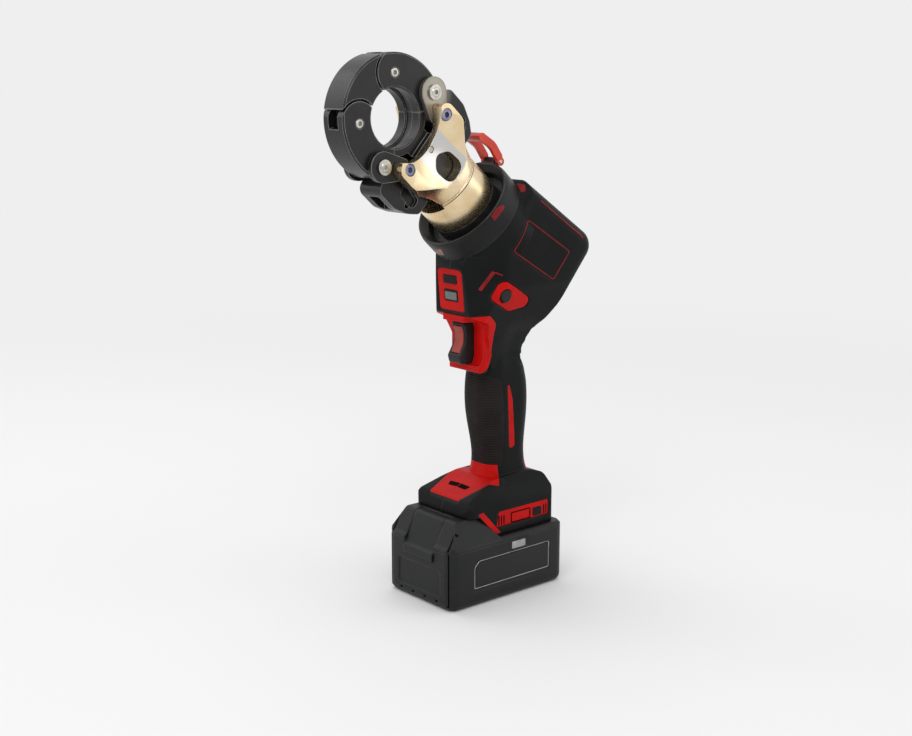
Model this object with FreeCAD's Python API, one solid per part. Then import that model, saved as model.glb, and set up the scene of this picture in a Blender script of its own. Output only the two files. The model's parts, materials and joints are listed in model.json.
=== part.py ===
import FreeCAD, Part
import math
import os

from FreeCAD import Vector

# Battery pipe press tool, standing on its battery.
# Frame: +X forward, +Y to the left side, +Z up, origin at the centre of the battery's base.
# Head pieces are drawn in the head frame: X along the barrel towards the press ring,
# Z across it, origin at the centre of the press ring, and are placed by to_world().

# Clearances
FIT = 0.05
SEAT = 0.1
SLIDE = 0.3
LINK = 0.4

# Barrel axis and the place of the press ring
AXIS_TILT = 42.0
RING_X = 87.0
RING_Z = 366.0

# Press ring
BORE_D = 42.0
RING_D = 90.0
RING_W = 24.0
HINGE_ANGLE = 48.0
HINGE_PIN_D = 7.0
SEAT_TURN = 210.0
SEAT_LIP = 0.8
TONGUE_W = 10.6
TIP_SWING = 45.0
SLOT_LEAN = -32.0
JAW_END_ANGLE = 128.0
RIM_CHAMFER = 0.8
RING_CHAMFER = 1.2
KNUCKLE_GAP = 1.7
GROOVE_W = 8.0
GROOVE_DEPTH = 1.4

# Lever arms
JAW_PIN_ANGLE = 109.4
JAW_PIN_D = 7.0
LUG_D = 17.0
EAR_D = 22.0
FULCRUM_ANGLE = 135.0
FULCRUM_PIN_D = 9.0
DIE_PIN_D = 5.0
SHANK_H = 11.0
HUB_D = 16.0
HUB_W = 32.4
TAIL_END = -61.0
TAIL_TOP = 48.0
TAIL_SLOPE = 20.0
ARM_SLOT_W = 12.0
ARM_SLOT_DEPTH = 7.0
EYE_D = 4.0
WEDGE_ANGLE = 18.0
WASHER_D = 11.0
WASHER_T = 1.6

# Yoke
YOKE_W = 52.0
NECK_D = 54.0
YOKE_BACK = -96.0
SLOT_FLOOR = -74.0
WINDOW_A = -50.0
WINDOW_L = 22.0
WINDOW_H = 19.0
PRONG_D = 15.5
SCOOP_DEPTH = 5.0
SCOOP_D = 52.0

# Roller carriage, piston and cylinder
ROLLER_A = -49.0
ROLLER_D = 19.6
ROLLER_PIN_D = 8.0
STROKE = 10.0
CARRIAGE_WEB_T = 3.6
ROD_D = 16.0
PISTON_D = 36.0
PISTON_A = -101.0
PISTON_L = 11.0
SEAL_T = 3.0
CYLINDER_BACK = -142.0
FLANGE_D = 66.0
FLANGE_T = 5.0

# Front collar and barrel
COLLAR_D = 79.0
COLLAR_FRONT = -95.0
COLLAR_BACK = -113.0
COLLAR_MOUTH_D = 66.0
BARREL_D = 78.0
BARREL_BACK = -138.0
THRUST_T = 2.8

# Pump, gearbox and motor
PUMP_D = 56.0
PUMP_L = 16.0
GEAR_D = 44.0
GEAR_L = 13.0
MOTOR_D = 42.0
MOTOR_L = 24.0
ROTOR_D = 24.0
SHAFT_D = 5.0
PLANET_D = 9.6
PLANET_PIN_D = 3.0
SUN_D = 9.0
CAM_R = 8.0

# Housing
WALL = 3.0
BODY_W = 74.0
BODY_EDGE = 13.0
GRIP_W = 36.0
FOOT_W = 66.0
FOOT_BACK = -52.5
FOOT_FRONT = 37.0
SLOPE_LOW = 8.0
SLOPE_TOP = 26.0
TRIM_T = 1.6
RUBBER_T = 2.0
SCREW_D = 3.6
SCREW_HEAD_D = 6.4
SCREW_END = 10.0

# Trigger and cross button
TRIGGER_W = 14.4
TRIGGER_TRAVEL = 6.0
TRIGGER_LOW = 181.5
TRIGGER_HIGH = 213.0
SWITCH_FRONT = -7.0
SWITCH_Z = 197.0
STEM_R = 2.5
BUTTON_X = 2.5
BUTTON_Z = 235.0
BUTTON_D = 10.0
BUTTON_TRAVEL = 2.0

# Hanging bail
BAIL_W = 18.8
BAIL_T = 3.0
BAIL_PIN_A = -98.5
BAIL_PIN_P = 42.5
BAIL_PIN_D = 3.0

# Battery
BATTERY_L = 118.0
BATTERY_W = 77.0
CASE_H = 46.0
CASE_WALL = 2.5
CASE_CORNER = 8.5
CASE_BOTTOM = 6.0
CAP_W = 66.0
CAP_T = 5.0
LID_T = 3.5
RAIL_W = 40.0
RAIL_FLANGE_W = 50.0
RAIL_TOP = 60.0
RAIL_FLANGE_H = 4.0
RAIL_BACK = -46.0
BLADES = (-13.0, -5.0, 5.0, 13.0)
FOOT_BOTTOM = 50.0
FOOT_NOSE_Z = 67.5
LATCH_W = 34.0
LATCH_TRAVEL = 4.0
LATCH_SILL = 40.5
LABEL_DEPTH = 0.4
CAP_RECESS = 0.8
CELL_D = 18.4
CELL_L = 65.0
CELL_PITCH = 19.0

# Values worked out from the sizes above
BORE_R = BORE_D / 2
RING_R = RING_D / 2
RING_H = RING_W / 2
HINGE_R = (BORE_R + RING_R) / 2 - 2.0
KNUCKLE_R = (RING_R - BORE_R) / 2 + 3.0
TONGUE_R = HINGE_PIN_D / 2 + 3.5
JAW_PIN_R = RING_R - LUG_D / 2 - 0.4
FULCRUM_R = RING_R - HUB_D / 2 - 1.6
DIE_R = BORE_R + 5.6
CRADLE_R = DIE_R + 0.9
SLOT_H = HUB_W / 2 + LINK
HUB_H = HUB_W / 2
YOKE_H = YOKE_W / 2
NECK_R = NECK_D / 2
ROLLER_R = ROLLER_D / 2
ROLLER_P = ROLLER_R + 0.2
PLATE_IN = RING_H + LINK
PLATE_OUT = HUB_H - 0.4
WEB_FRONT = ROLLER_A - ROLLER_R - 0.4
WEB_BACK = WEB_FRONT - CARRIAGE_WEB_T
GLAND_BACK = YOKE_BACK + 3.0
SOCKET_D = 42.0
SOCKET_A = YOKE_BACK + 12.0
PUMP_BACK = CYLINDER_BACK - PUMP_L
GEAR_BACK = PUMP_BACK - GEAR_L
MOTOR_BACK = GEAR_BACK - MOTOR_L
PLANET_ORBIT = SUN_D / 2 + PLANET_D / 2 + SEAT
SHANK_BACK = ROLLER_A + ROLLER_R + 1.5
DIE_PIN = (-CRADLE_R - 5.6, 0.0)
FLANGE_FRONT = COLLAR_BACK - THRUST_T - 2 * SEAT
BODY_H = BODY_W / 2
FOOT_H = FOOT_W / 2
GRIP_H = GRIP_W / 2
LID_TOP = CASE_H + LID_T
CASE_X = BATTERY_L / 2
CASE_Y = BATTERY_W / 2

# The body's cross-section by height, (z, half width), and its nose seen from above
FLANKS = [(166.0, 14.0), (188.0, 17.8), (203.0, 22.0), (241.0, BODY_H)]
NOSE = [(-130.0, -BODY_H), (6.0, -BODY_H, 14.0), (29.0, -15.0, 5.0), (29.0, 15.0, 5.0), (6.0, BODY_H, 14.0),
        (-130.0, BODY_H)]

# Outlines of the pieces let into the housing, seen from the left as (x, z, corner radius)
PANEL = [(-16.5, 291.3, 2.0), (-62.6, 263.3, 2.0), (-43.8, 241.5, 2.0), (-1.1, 267.7, 2.0)]
LOCK_BEZEL = [(7.5, 249.0, 6.0), (14.5, 232.0, 5.0), (-5.0, 221.5, 7.0), (-34.0, 225.0, 5.0)]
STRIPE = [(-15.0, 170.0, 1.0), (-20.5, 150.0), (-24.0, 112.0, 2.0), (-18.5, 111.0, 2.0), (-16.5, 145.0)]
INSERT = [(9.0, 56.0, 1.0), (6.5, 68.5, 1.0), (-46.0, 68.5, 1.0), (-46.0, 56.0, 1.0)]
STRIP = [(27.5, 70.0), (22.5, 71.0), (4.5, 51.5), (10.5, 51.5)]
GRIP_RUBBER = [(-11.0, 99.0), (20.0, 99.0), (20.0, 168.0), (4.0, 170.0), (-9.0, 166.0, 6.0),
               (-12.0, 140.0, 30.0)]
SURROUND_OUT = [(24.5, 213.0), (24.5, 219.0, 1.5), (13.0, 220.5, 5.0), (4.0, 213.0, 8.0),
                (2.0, 187.0, 8.0), (7.0, 173.5, 4.0), (14.0, 175.0, 1.5), (14.0, 184.0)]
SURROUND_IN = [(40.0, 213.6), (13.0, 214.5, 3.0), (10.0, 209.0, 4.0), (10.0, 186.0, 3.0),
               (12.5, 180.0, 2.0), (40.0, 180.6)]
SURROUND_PLAN = [(-12.0, -18.5), (9.0, -18.5, 6.0), (31.0, -8.5, 5.0), (31.0, 8.5, 5.0), (9.0, 18.5, 6.0),
                 (-12.0, 18.5)]
LABEL = [(36.0, 12.0, 1.0), (36.0, 31.0), (31.0, 36.0), (-42.0, 36.0, 1.0), (-42.0, 12.0, 1.0)]
LATCH = [(CASE_X + 1.5, 35.5, 1.0), (CASE_X + SLIDE, 35.5), (CASE_X + SLIDE, LATCH_SILL),
         (CASE_X - 3.0, LATCH_SILL), (46.0, 60.0), (40.0, 60.0), (40.0, 66.8), (47.5, 66.8, 3.0),
         (CASE_X - 0.5, 43.5, 2.0), (CASE_X + 1.5, 42.0, 1.0)]


def polar(radius, angle):
    """Point (x, z) at a radius and an angle in degrees."""
    t = math.radians(angle)
    return (radius * math.cos(t), radius * math.sin(t))


HINGE = polar(HINGE_R, HINGE_ANGLE)
JAW_PIN = polar(JAW_PIN_R, JAW_PIN_ANGLE)
FULCRUM = polar(FULCRUM_R, FULCRUM_ANGLE)


def to_world(shape):
    """Move a shape from the head frame to the frame of the whole tool."""
    moved = shape.copy()
    moved.rotate(Vector(0, 0, 0), Vector(0, 1, 0), -AXIS_TILT)
    moved.translate(Vector(RING_X, 0, RING_Z))
    return moved


def head_point(a, p):
    """World (x, z) of a point given in the head frame."""
    t = math.radians(AXIS_TILT)
    x = RING_X + a * math.cos(t) - p * math.sin(t)
    z = RING_Z + a * math.sin(t) + p * math.cos(t)
    return (x, z)


SCREW_SPOTS = [head_point(-152.0, 34.0), head_point(-196.0, -27.0), (-20.0, 215.0), (-20.0, 104.0)]


def mirror_p(shape):
    """Copy of a head-frame shape on the other side of the barrel axis."""
    return shape.mirror(Vector(0, 0, 0), Vector(0, 0, 1))


def outline(points):
    """Closed wire in the XZ plane through (x, z) or (x, z, corner radius)."""
    count = len(points)
    edges = []
    ends = []
    for i, point in enumerate(points):
        here = Vector(point[0], 0, point[1])
        radius = point[2] if len(point) > 2 else 0.0
        if radius <= 0.0:
            ends.append((here, here, None))
            continue
        before = points[i - 1]
        after = points[(i + 1) % count]
        back = (Vector(before[0], 0, before[1]) - here).normalize()
        ahead = (Vector(after[0], 0, after[1]) - here).normalize()
        half = back.getAngle(ahead) / 2
        run = radius / math.tan(half)
        middle = (back + ahead).normalize()
        centre = here + middle * (radius / math.sin(half))
        top = centre - middle * radius
        ends.append((here + back * run, here + ahead * run, top))
    for i, (start, end, top) in enumerate(ends):
        if top is not None:
            edges.append(Part.Arc(start, top, end).toShape())
        following = ends[(i + 1) % count][0]
        if end.distanceToPoint(following) > 1e-6:
            edges.append(Part.LineSegment(end, following).toShape())
    return Part.Wire(edges)


def profile(points, inset=0.0):
    """Face of a closed outline, drawn inwards by an inset."""
    face = Part.Face(outline(points))
    return face.makeOffset2D(-inset) if inset > 0.0 else face


def plate(points, y0, y1):
    """Prism of an XZ outline between two Y planes."""
    face = profile(points)
    face.translate(Vector(0, y0, 0))
    return face.extrude(Vector(0, y1 - y0, 0))


def cross_prism(points, x0, x1, inset=0.0):
    """Prism of a YZ outline, given as (y, z), between two X planes."""
    face = profile(points, inset)
    face.rotate(Vector(0, 0, 0), Vector(0, 0, 1), 90)
    face.translate(Vector(x0, 0, 0))
    return face.extrude(Vector(x1 - x0, 0, 0))


def plan_prism(points, z0, z1, inset=0.0):
    """Prism of an XY outline, given as (x, y), between two heights."""
    face = profile(points, inset)
    face.rotate(Vector(0, 0, 0), Vector(1, 0, 0), -90)
    face.translate(Vector(0, 0, z0))
    return face.extrude(Vector(0, 0, z1 - z0))


def block(x0, x1, y0, y1, z0, z1):
    """Box between two corners."""
    return Part.makeBox(x1 - x0, y1 - y0, z1 - z0, Vector(x0, y0, z0))


def disc(centre, radius, y0, y1):
    """Round plate or pin along Y at an (x, z) centre."""
    return Part.makeCylinder(radius, y1 - y0, Vector(centre[0], y0, centre[1]), Vector(0, 1, 0))


def sector(r_in, r_out, start, end, y0, y1):
    """Part of a ring about the Y axis between two angles in degrees."""
    middle = (start + end) / 2
    inner = [polar(r_in, t) for t in (start, middle, end)]
    outer = [polar(r_out, t) for t in (end, middle, start)]
    a, b, c = [Vector(x, 0, z) for x, z in inner]
    d, e, f = [Vector(x, 0, z) for x, z in outer]
    edges = [Part.Arc(a, b, c).toShape(), Part.LineSegment(c, d).toShape()]
    edges += [Part.Arc(d, e, f).toShape(), Part.LineSegment(f, a).toShape()]
    face = Part.Face(Part.Wire(edges))
    face.translate(Vector(0, y0, 0))
    return face.extrude(Vector(0, y1 - y0, 0))


def link(c1, r1, c2, r2, y0, y1):
    """Flat link: two round ends joined by their outer tangents."""
    dx = c2[0] - c1[0]
    dz = c2[1] - c1[1]
    span = math.hypot(dx, dz)
    lean = math.atan2(dz, dx)
    spread = math.acos((r1 - r2) / span)
    corners = []
    for centre, radius, side in ((c1, r1, 1), (c2, r2, 1), (c2, r2, -1), (c1, r1, -1)):
        t = lean + side * spread
        corners.append((centre[0] + radius * math.cos(t), centre[1] + radius * math.sin(t)))
    body = plate(corners, y0, y1)
    return body.fuse([disc(c1, r1, y0, y1), disc(c2, r2, y0, y1)]).removeSplitter()


def turned(points):
    """Solid turned about the X axis from (x, radius) points."""
    wire = outline(points)
    return Part.Face(wire).revolve(Vector(0, 0, 0), Vector(1, 0, 0), 360)


def tube(x0, x1, r_out, r_in=0.0):
    """Round bar or sleeve along X."""
    bar = Part.makeCylinder(r_out, x1 - x0, Vector(x0, 0, 0), Vector(1, 0, 0))
    if r_in > 0.0:
        bar = bar.cut(Part.makeCylinder(r_in, x1 - x0, Vector(x0, 0, 0), Vector(1, 0, 0)))
    return bar


def coil(x0, x1, radius, wire_r, turns):
    """Coil spring along X, its wire drawn with six sides."""
    pitch = (x1 - x0 - 2 * wire_r) / turns
    path = Part.makeHelix(pitch, pitch * turns, radius)
    corners = [polar(wire_r, 60 * k) for k in range(6)]
    section = outline([(radius + x, z) for x, z in corners])
    spring = Part.Wire(path).makePipeShell([section], True, True)
    spring.rotate(Vector(0, 0, 0), Vector(0, 1, 0), 90)
    spring.translate(Vector(x0 + wire_r, 0, 0))
    return spring


def largest(shape):
    """The biggest solid of a shape, without slivers."""
    return max(shape.Solids, key=lambda s: s.Volume)


def both_sides(low, high, make):
    """The same piece on the left and right of the middle plane, as one list."""
    return [make(low, high), make(-high, -low)]


# Press ring

def ring_bore():
    """Bore through the ring with a bead groove and a small chamfer at each rim."""
    cutter = disc((0, 0), BORE_R, -RING_H, RING_H)
    cutter = cutter.fuse(disc((0, 0), BORE_R + GROOVE_DEPTH, -GROOVE_W / 2, GROOVE_W / 2))
    for side in (1, -1):
        cone = Part.makeCone(BORE_R, BORE_R + RIM_CHAMFER, RIM_CHAMFER,
                             Vector(0, side * (RING_H - RIM_CHAMFER), 0), Vector(0, side, 0))
        cutter = cutter.fuse(cone)
    return cutter


def ring_blank():
    """Outer form of the ring, chamfered at both faces."""
    blank = disc((0, 0), RING_R, -RING_H, RING_H)
    return blank.makeChamfer(RING_CHAMFER, [e for e in blank.Edges if abs(e.CenterOfMass.y) > RING_H / 2])


def hinge_slot():
    """Space that the middle segment's tongue swings in, in the upper jaw."""
    half = TONGUE_W / 2 + SLIDE
    reach = KNUCKLE_R + LINK
    room = disc(HINGE, TONGUE_R + LINK, -half, half)
    for lean, top in ((SLOT_LEAN, reach), (SLOT_LEAN + TIP_SWING, TONGUE_R + LINK)):
        ux, uz = polar(1.0, lean)
        corners = []
        for along, across in ((0, -reach), (reach, -reach), (reach, top), (0, top)):
            corners.append((HINGE[0] + ux * along - uz * across, HINGE[1] + uz * along + ux * across))
        room = room.fuse(plate(corners, -half, half))
    return room


def side_jaw():
    """Upper side jaw: ring sector, round knuckle in front and lug for the lever arm."""
    jaw = sector(BORE_R - 1, RING_R, HINGE_ANGLE, JAW_PIN_ANGLE - 3.0, -RING_H, RING_H)
    knuckle = disc(HINGE, KNUCKLE_R, -RING_H, RING_H)
    knuckle = knuckle.common(sector(BORE_R - 1, RING_R, 5.0, HINGE_ANGLE + 5.0, -RING_H, RING_H))
    toe = sector(BORE_R - 1, DIE_R, HINGE_ANGLE, JAW_END_ANGLE, -RING_H, RING_H)
    lug = disc(JAW_PIN, LUG_D / 2, -RING_H, RING_H)
    bridge = sector(BORE_R, JAW_PIN_R, JAW_PIN_ANGLE - 12.0, JAW_PIN_ANGLE + 6.0, -RING_H, RING_H)
    jaw = jaw.fuse([knuckle, toe, lug, bridge])
    jaw = jaw.cut(disc(FULCRUM, HUB_D / 2 + 4 * LINK, -RING_H, RING_H))
    jaw = jaw.common(ring_blank()).cut([hinge_slot(), ring_bore()])
    jaw = jaw.cut(disc(HINGE, HINGE_PIN_D / 2 + FIT / 2, -RING_H, RING_H))
    jaw = jaw.cut(disc(JAW_PIN, JAW_PIN_D / 2 + FIT, -RING_H, RING_H))
    return jaw.removeSplitter()


def tip_tongue(angle_sign):
    """Tongue of the middle segment that reaches into a side jaw."""
    half = TONGUE_W / 2
    centre = (HINGE[0], angle_sign * HINGE[1])
    near = angle_sign * 10.0
    far = angle_sign * (HINGE_ANGLE - 12.0)
    inner = sector(BORE_R - 1, HINGE_R, near, far, -half, half)
    outer = sector(HINGE_R - 1, HINGE_R + TONGUE_R, near, angle_sign * HINGE_ANGLE, -half, half)
    lobe = disc(centre, TONGUE_R, -half, half)
    core = sector(HINGE_R - TONGUE_R, HINGE_R, near, angle_sign * HINGE_ANGLE, -half, half)
    return inner.fuse([outer, lobe, core])


def tip_segment():
    """Middle segment of the ring with a hinge tongue above and an open seat below."""
    body = sector(BORE_R - 1, RING_R, -HINGE_ANGLE, HINGE_ANGLE, -RING_H, RING_H)
    low_hinge = (HINGE[0], -HINGE[1])
    for centre in (HINGE, low_hinge):
        body = body.cut(disc(centre, KNUCKLE_R + KNUCKLE_GAP, -RING_H, RING_H))
    body = largest(body).common(ring_blank())
    body = body.fuse([tip_tongue(1), tip_tongue(-1)])
    body = body.cut(disc(HINGE, HINGE_PIN_D / 2 + FIT, -RING_H, RING_H))
    seat = disc(low_hinge, HINGE_PIN_D / 2 + LINK, -RING_H, RING_H)
    u = polar(1.0, SEAT_TURN)
    v = (-u[1], u[0])
    reach = KNUCKLE_R
    lip = SEAT_LIP / reach
    corners = []
    for along, across in ((-lip, -1), (1, -1), (1, 1), (-lip, 1)):
        corners.append((low_hinge[0] + reach * (u[0] * along + v[0] * across),
                        low_hinge[1] + reach * (u[1] * along + v[1] * across)))
    body = body.cut([seat, plate(corners, -RING_H, RING_H), ring_bore()])
    return largest(body.removeSplitter())


def rear_die():
    """Fixed segment of the ring with a shank between the yoke's cheeks."""
    reach = 360.0 - 2 * JAW_END_ANGLE
    gap = math.degrees(SLIDE / BORE_R)
    die = sector(BORE_R - 1, DIE_R, 180 - reach / 2 + gap, 180 + reach / 2 - gap, -RING_H, RING_H)
    shank = block(SHANK_BACK, -BORE_R - 1, -RING_H, RING_H, -SHANK_H, SHANK_H)
    cheeks = both_sides(RING_H, SLOT_H - SEAT, lambda y0, y1: block(
        SHANK_BACK, -CRADLE_R - 1.0, y0, y1, -SHANK_H, SHANK_H))
    die = die.fuse([shank] + cheeks).cut(ring_bore())
    die = die.cut(disc(DIE_PIN, DIE_PIN_D / 2 + FIT / 2, -YOKE_H, YOKE_H))
    return die.removeSplitter()


def round_pin(centre, radius, half, socket_r=0.0):
    """Pin along Y with chamfered ends and a hexagon socket in each."""
    pin = disc(centre, radius, -half, half)
    rims = [e for e in pin.Edges if abs(abs(e.CenterOfMass.y) - half) < 1e-6 and e.Closed]
    pin = pin.makeChamfer(min(0.6, radius / 5), rims)
    if socket_r > 0.0:
        corners = []
        for k in range(6):
            x, z = polar(socket_r, 60 * k)
            corners.append((centre[0] + x, centre[1] + z))
        pin = pin.cut([plate(corners, half - socket_r, half), plate(corners, -half, socket_r - half)])
    return pin


# Lever arms

def wedge_height(a):
    """Height of the upper arm's wedge face, which rests on the roller."""
    lean = math.radians(WEDGE_ANGLE)
    return ROLLER_P + (ROLLER_R + FIT) / math.cos(lean) + math.tan(lean) * (ROLLER_A - a)


def lever_arm():
    """Upper lever arm: fork round the jaw's lug, hub on the fulcrum and wedge tail."""
    heel = ROLLER_A + ROLLER_R
    tail = [(FULCRUM[0] + 2.0, FULCRUM[1] - HUB_D / 2 + 1.0), (heel, wedge_height(heel)),
            (TAIL_END, wedge_height(TAIL_END), 3.0), (TAIL_END, TAIL_TOP - 11.0, 5.0),
            (TAIL_END + TAIL_SLOPE * 0.4, TAIL_TOP - 5.0, 10.0), (TAIL_END + TAIL_SLOPE, TAIL_TOP, 12.0),
            (FULCRUM[0] + 3.0, TAIL_TOP, 6.0), (FULCRUM[0] + 6.0, FULCRUM[1] + 4.0)]
    arm = plate(tail, -RING_H, RING_H)
    hollow = [(-54.0, 30.0, 3.0), (-54.0, 38.0, 3.0), (-38.0, 38.0, 3.0), (-36.0, 27.0, 3.0)]
    pocket = both_sides(RING_H - 3.0, RING_H, lambda y0, y1: plate(hollow, y0, y1))
    back = [(TAIL_END + TAIL_SLOPE * 0.6, TAIL_TOP + 1.0), (FULCRUM[0] - 3.0, TAIL_TOP + 1.0),
            (FULCRUM[0] - 6.0, TAIL_TOP - ARM_SLOT_DEPTH, 4.0),
            (TAIL_END + TAIL_SLOPE, TAIL_TOP - ARM_SLOT_DEPTH, 4.0)]
    arm = arm.cut(pocket + [plate(back, -ARM_SLOT_W / 2, ARM_SLOT_W / 2)])
    arm = arm.cut(disc(JAW_PIN, LUG_D / 2 + LINK, -RING_H, RING_H))
    hub = disc(FULCRUM, HUB_D / 2, -HUB_H, HUB_H)
    cheek = both_sides(PLATE_IN, HUB_H, lambda y0, y1: link(
        FULCRUM, HUB_D / 2, JAW_PIN, EAR_D / 2, y0, y1))
    arm = arm.fuse([hub] + cheek)
    arm = arm.cut(disc(FULCRUM, FULCRUM_PIN_D / 2 + FIT, -HUB_H, HUB_H))
    arm = arm.cut(disc(JAW_PIN, JAW_PIN_D / 2 + FIT / 2, -HUB_H, HUB_H))
    eye = disc((TAIL_END + TAIL_SLOPE * 0.65, TAIL_TOP - 8.5), EYE_D / 2, -RING_H, RING_H)
    return arm.cut(eye).removeSplitter()


def jaw_pin(centre):
    """Pin of a side jaw with a washer on each end, outside the arm's fork."""
    pin = round_pin(centre, JAW_PIN_D / 2, HUB_H + WASHER_T + 0.6, 1.8)
    rings = both_sides(HUB_H + FIT, HUB_H + WASHER_T, lambda y0, y1: disc(centre, WASHER_D / 2, y0, y1))
    hole = disc(centre, JAW_PIN_D / 2 + FIT / 2, -YOKE_H, YOKE_H)
    return Part.makeCompound([pin] + [ring.cut(hole) for ring in rings])


# Yoke

def cheek_outline():
    """Side view of the yoke: two prongs round the cradle, narrowing to the neck."""
    prong = PRONG_D / 2
    tip = (FULCRUM[0] + prong, FULCRUM[1])
    upper = [(YOKE_BACK, NECK_R), (SLOT_FLOOR + 4.0, NECK_R, 12.0),
             (FULCRUM[0] - 10.0, FULCRUM[1] + prong, 10.0),
             (tip[0], FULCRUM[1] + prong, prong - 0.5), (tip[0], FULCRUM[1] - prong + 1.0, 3.0),
             (FULCRUM[0], FULCRUM[1] - prong - 3.0)]
    lower = [(q[0], -q[1]) + tuple(q[2:]) for q in reversed(upper)]
    return upper + lower


def yoke():
    """Clevis that carries the arms, with a window in each cheek and a round root."""
    body = plate(cheek_outline(), -YOKE_H - 2.0, YOKE_H + 2.0)
    shoulder = SLOT_FLOOR + 4.0
    envelope = turned([(YOKE_BACK, 0), (YOKE_BACK, NECK_R), (shoulder, NECK_R),
                       (shoulder + 14.0, NECK_R + 3.0, 40.0), (shoulder + 34.0, NECK_R + 16.0),
                       (0, NECK_R + 16.0), (0, 0)])
    body = body.common(envelope)
    waist = [(-YOKE_H, -60.0), (YOKE_H, -60.0), (YOKE_H, 60.0), (-YOKE_H, 60.0)]
    body = body.common(cross_prism(waist, shoulder, 0).fuse(tube(YOKE_BACK, shoulder, NECK_R)))
    body = body.cut(plate([(0, -60), (0, 60), (SLOT_FLOOR, 60), (SLOT_FLOOR, -60)], -SLOT_H, SLOT_H))
    body = body.cut(disc((0, 0), CRADLE_R, -YOKE_H, YOKE_H))
    half = WINDOW_L / 2
    window = [(WINDOW_A + half, 0, 6.0), (WINDOW_A + half * 0.4, WINDOW_H / 2, 6.0),
              (WINDOW_A - half, WINDOW_H / 2, 7.0), (WINDOW_A - half, -WINDOW_H / 2, 7.0),
              (WINDOW_A + half * 0.4, -WINDOW_H / 2, 6.0)]
    body = body.cut(plate(window, -YOKE_H, YOKE_H))
    ball = (SCOOP_D ** 2 / 4 + SCOOP_DEPTH ** 2) / (2 * SCOOP_DEPTH)
    for side in (1, -1):
        centre = Vector(-CRADLE_R - 8.0, side * (YOKE_H - SCOOP_DEPTH + ball), 3.0)
        body = body.cut(Part.makeSphere(ball, centre))
    groove = turned([(shoulder - 0.5, NECK_R - 0.7), (shoulder - 0.5, NECK_R + 1),
                     (shoulder + 0.5, NECK_R + 1), (shoulder + 0.5, NECK_R - 0.7)])
    body = body.cut(groove)
    for centre in (FULCRUM, (FULCRUM[0], -FULCRUM[1])):
        body = body.cut(disc(centre, FULCRUM_PIN_D / 2 + FIT / 2, -YOKE_H, YOKE_H))
    body = body.cut(disc(DIE_PIN, DIE_PIN_D / 2 + FIT / 2, -YOKE_H, YOKE_H))
    body = body.cut(tube(YOKE_BACK, SOCKET_A, SOCKET_D / 2))
    body = body.cut(tube(YOKE_BACK, SLOT_FLOOR, ROD_D / 2 + FIT))
    return body.removeSplitter()


# Roller carriage, piston and cylinder

def roller(side):
    """Roller that drives one arm's tail."""
    centre = (ROLLER_A, side * ROLLER_P)
    wheel = disc(centre, ROLLER_R, -RING_H, RING_H)
    rims = [e for e in wheel.Edges if e.Closed]
    wheel = wheel.makeChamfer(0.5, rims)
    return wheel.cut(disc(centre, ROLLER_PIN_D / 2 + FIT, -RING_H, RING_H))


def piston():
    """Piston with its rod and the fork that carries the two rollers."""
    web = block(WEB_BACK, WEB_FRONT, -PLATE_OUT, PLATE_OUT, -ROLLER_P, ROLLER_P)
    plates = both_sides(PLATE_IN, PLATE_OUT, lambda y0, y1: link(
        (ROLLER_A, ROLLER_P), 7.0, (ROLLER_A, -ROLLER_P), 7.0, y0, y1))
    plates += both_sides(PLATE_IN, PLATE_OUT, lambda y0, y1: block(
        WEB_BACK, ROLLER_A, y0, y1, -ROLLER_P - 3.0, ROLLER_P + 3.0))
    rod = tube(PISTON_A, WEB_BACK, ROD_D / 2)
    head = tube(PISTON_A - PISTON_L, PISTON_A, PISTON_D / 2 - FIT)
    groove = tube(PISTON_A - PISTON_L / 2 - SEAL_T / 2, PISTON_A - PISTON_L / 2 + SEAL_T / 2,
                  PISTON_D / 2, PISTON_D / 2 - SEAL_T)
    body = web.fuse(plates + [rod, head]).cut(groove)
    for side in (1, -1):
        body = body.cut(disc((ROLLER_A, side * ROLLER_P), ROLLER_PIN_D / 2 + FIT / 2, -YOKE_H, YOKE_H))
    return body.removeSplitter()


def piston_seal():
    """Sealing ring in the piston's groove."""
    middle = PISTON_A - PISTON_L / 2
    half = SEAL_T / 2 - SEAT / 2
    return tube(middle - half, middle + half, PISTON_D / 2 - FIT / 2, PISTON_D / 2 - SEAL_T + SEAT / 2)


def cylinder():
    """Hydraulic cylinder: threaded nose in the yoke, flange behind the collar, open back."""
    body = turned([(CYLINDER_BACK, 0), (CYLINDER_BACK, NECK_R), (FLANGE_FRONT - FLANGE_T, NECK_R),
                   (FLANGE_FRONT - FLANGE_T, FLANGE_D / 2), (FLANGE_FRONT, FLANGE_D / 2),
                   (FLANGE_FRONT, NECK_R), (YOKE_BACK, NECK_R), (YOKE_BACK, SOCKET_D / 2 - FIT),
                   (SOCKET_A - SEAT, SOCKET_D / 2 - FIT), (SOCKET_A - SEAT, 0)])
    body = body.cut(tube(CYLINDER_BACK, SOCKET_A, ROD_D / 2 + FIT))
    return body.cut(tube(CYLINDER_BACK, GLAND_BACK, PISTON_D / 2))


def thrust_ring():
    """Bearing ring between the collar and the cylinder's flange."""
    return tube(COLLAR_BACK - SEAT - THRUST_T, COLLAR_BACK - SEAT, FLANGE_D / 2, NECK_R + SLIDE)


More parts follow.
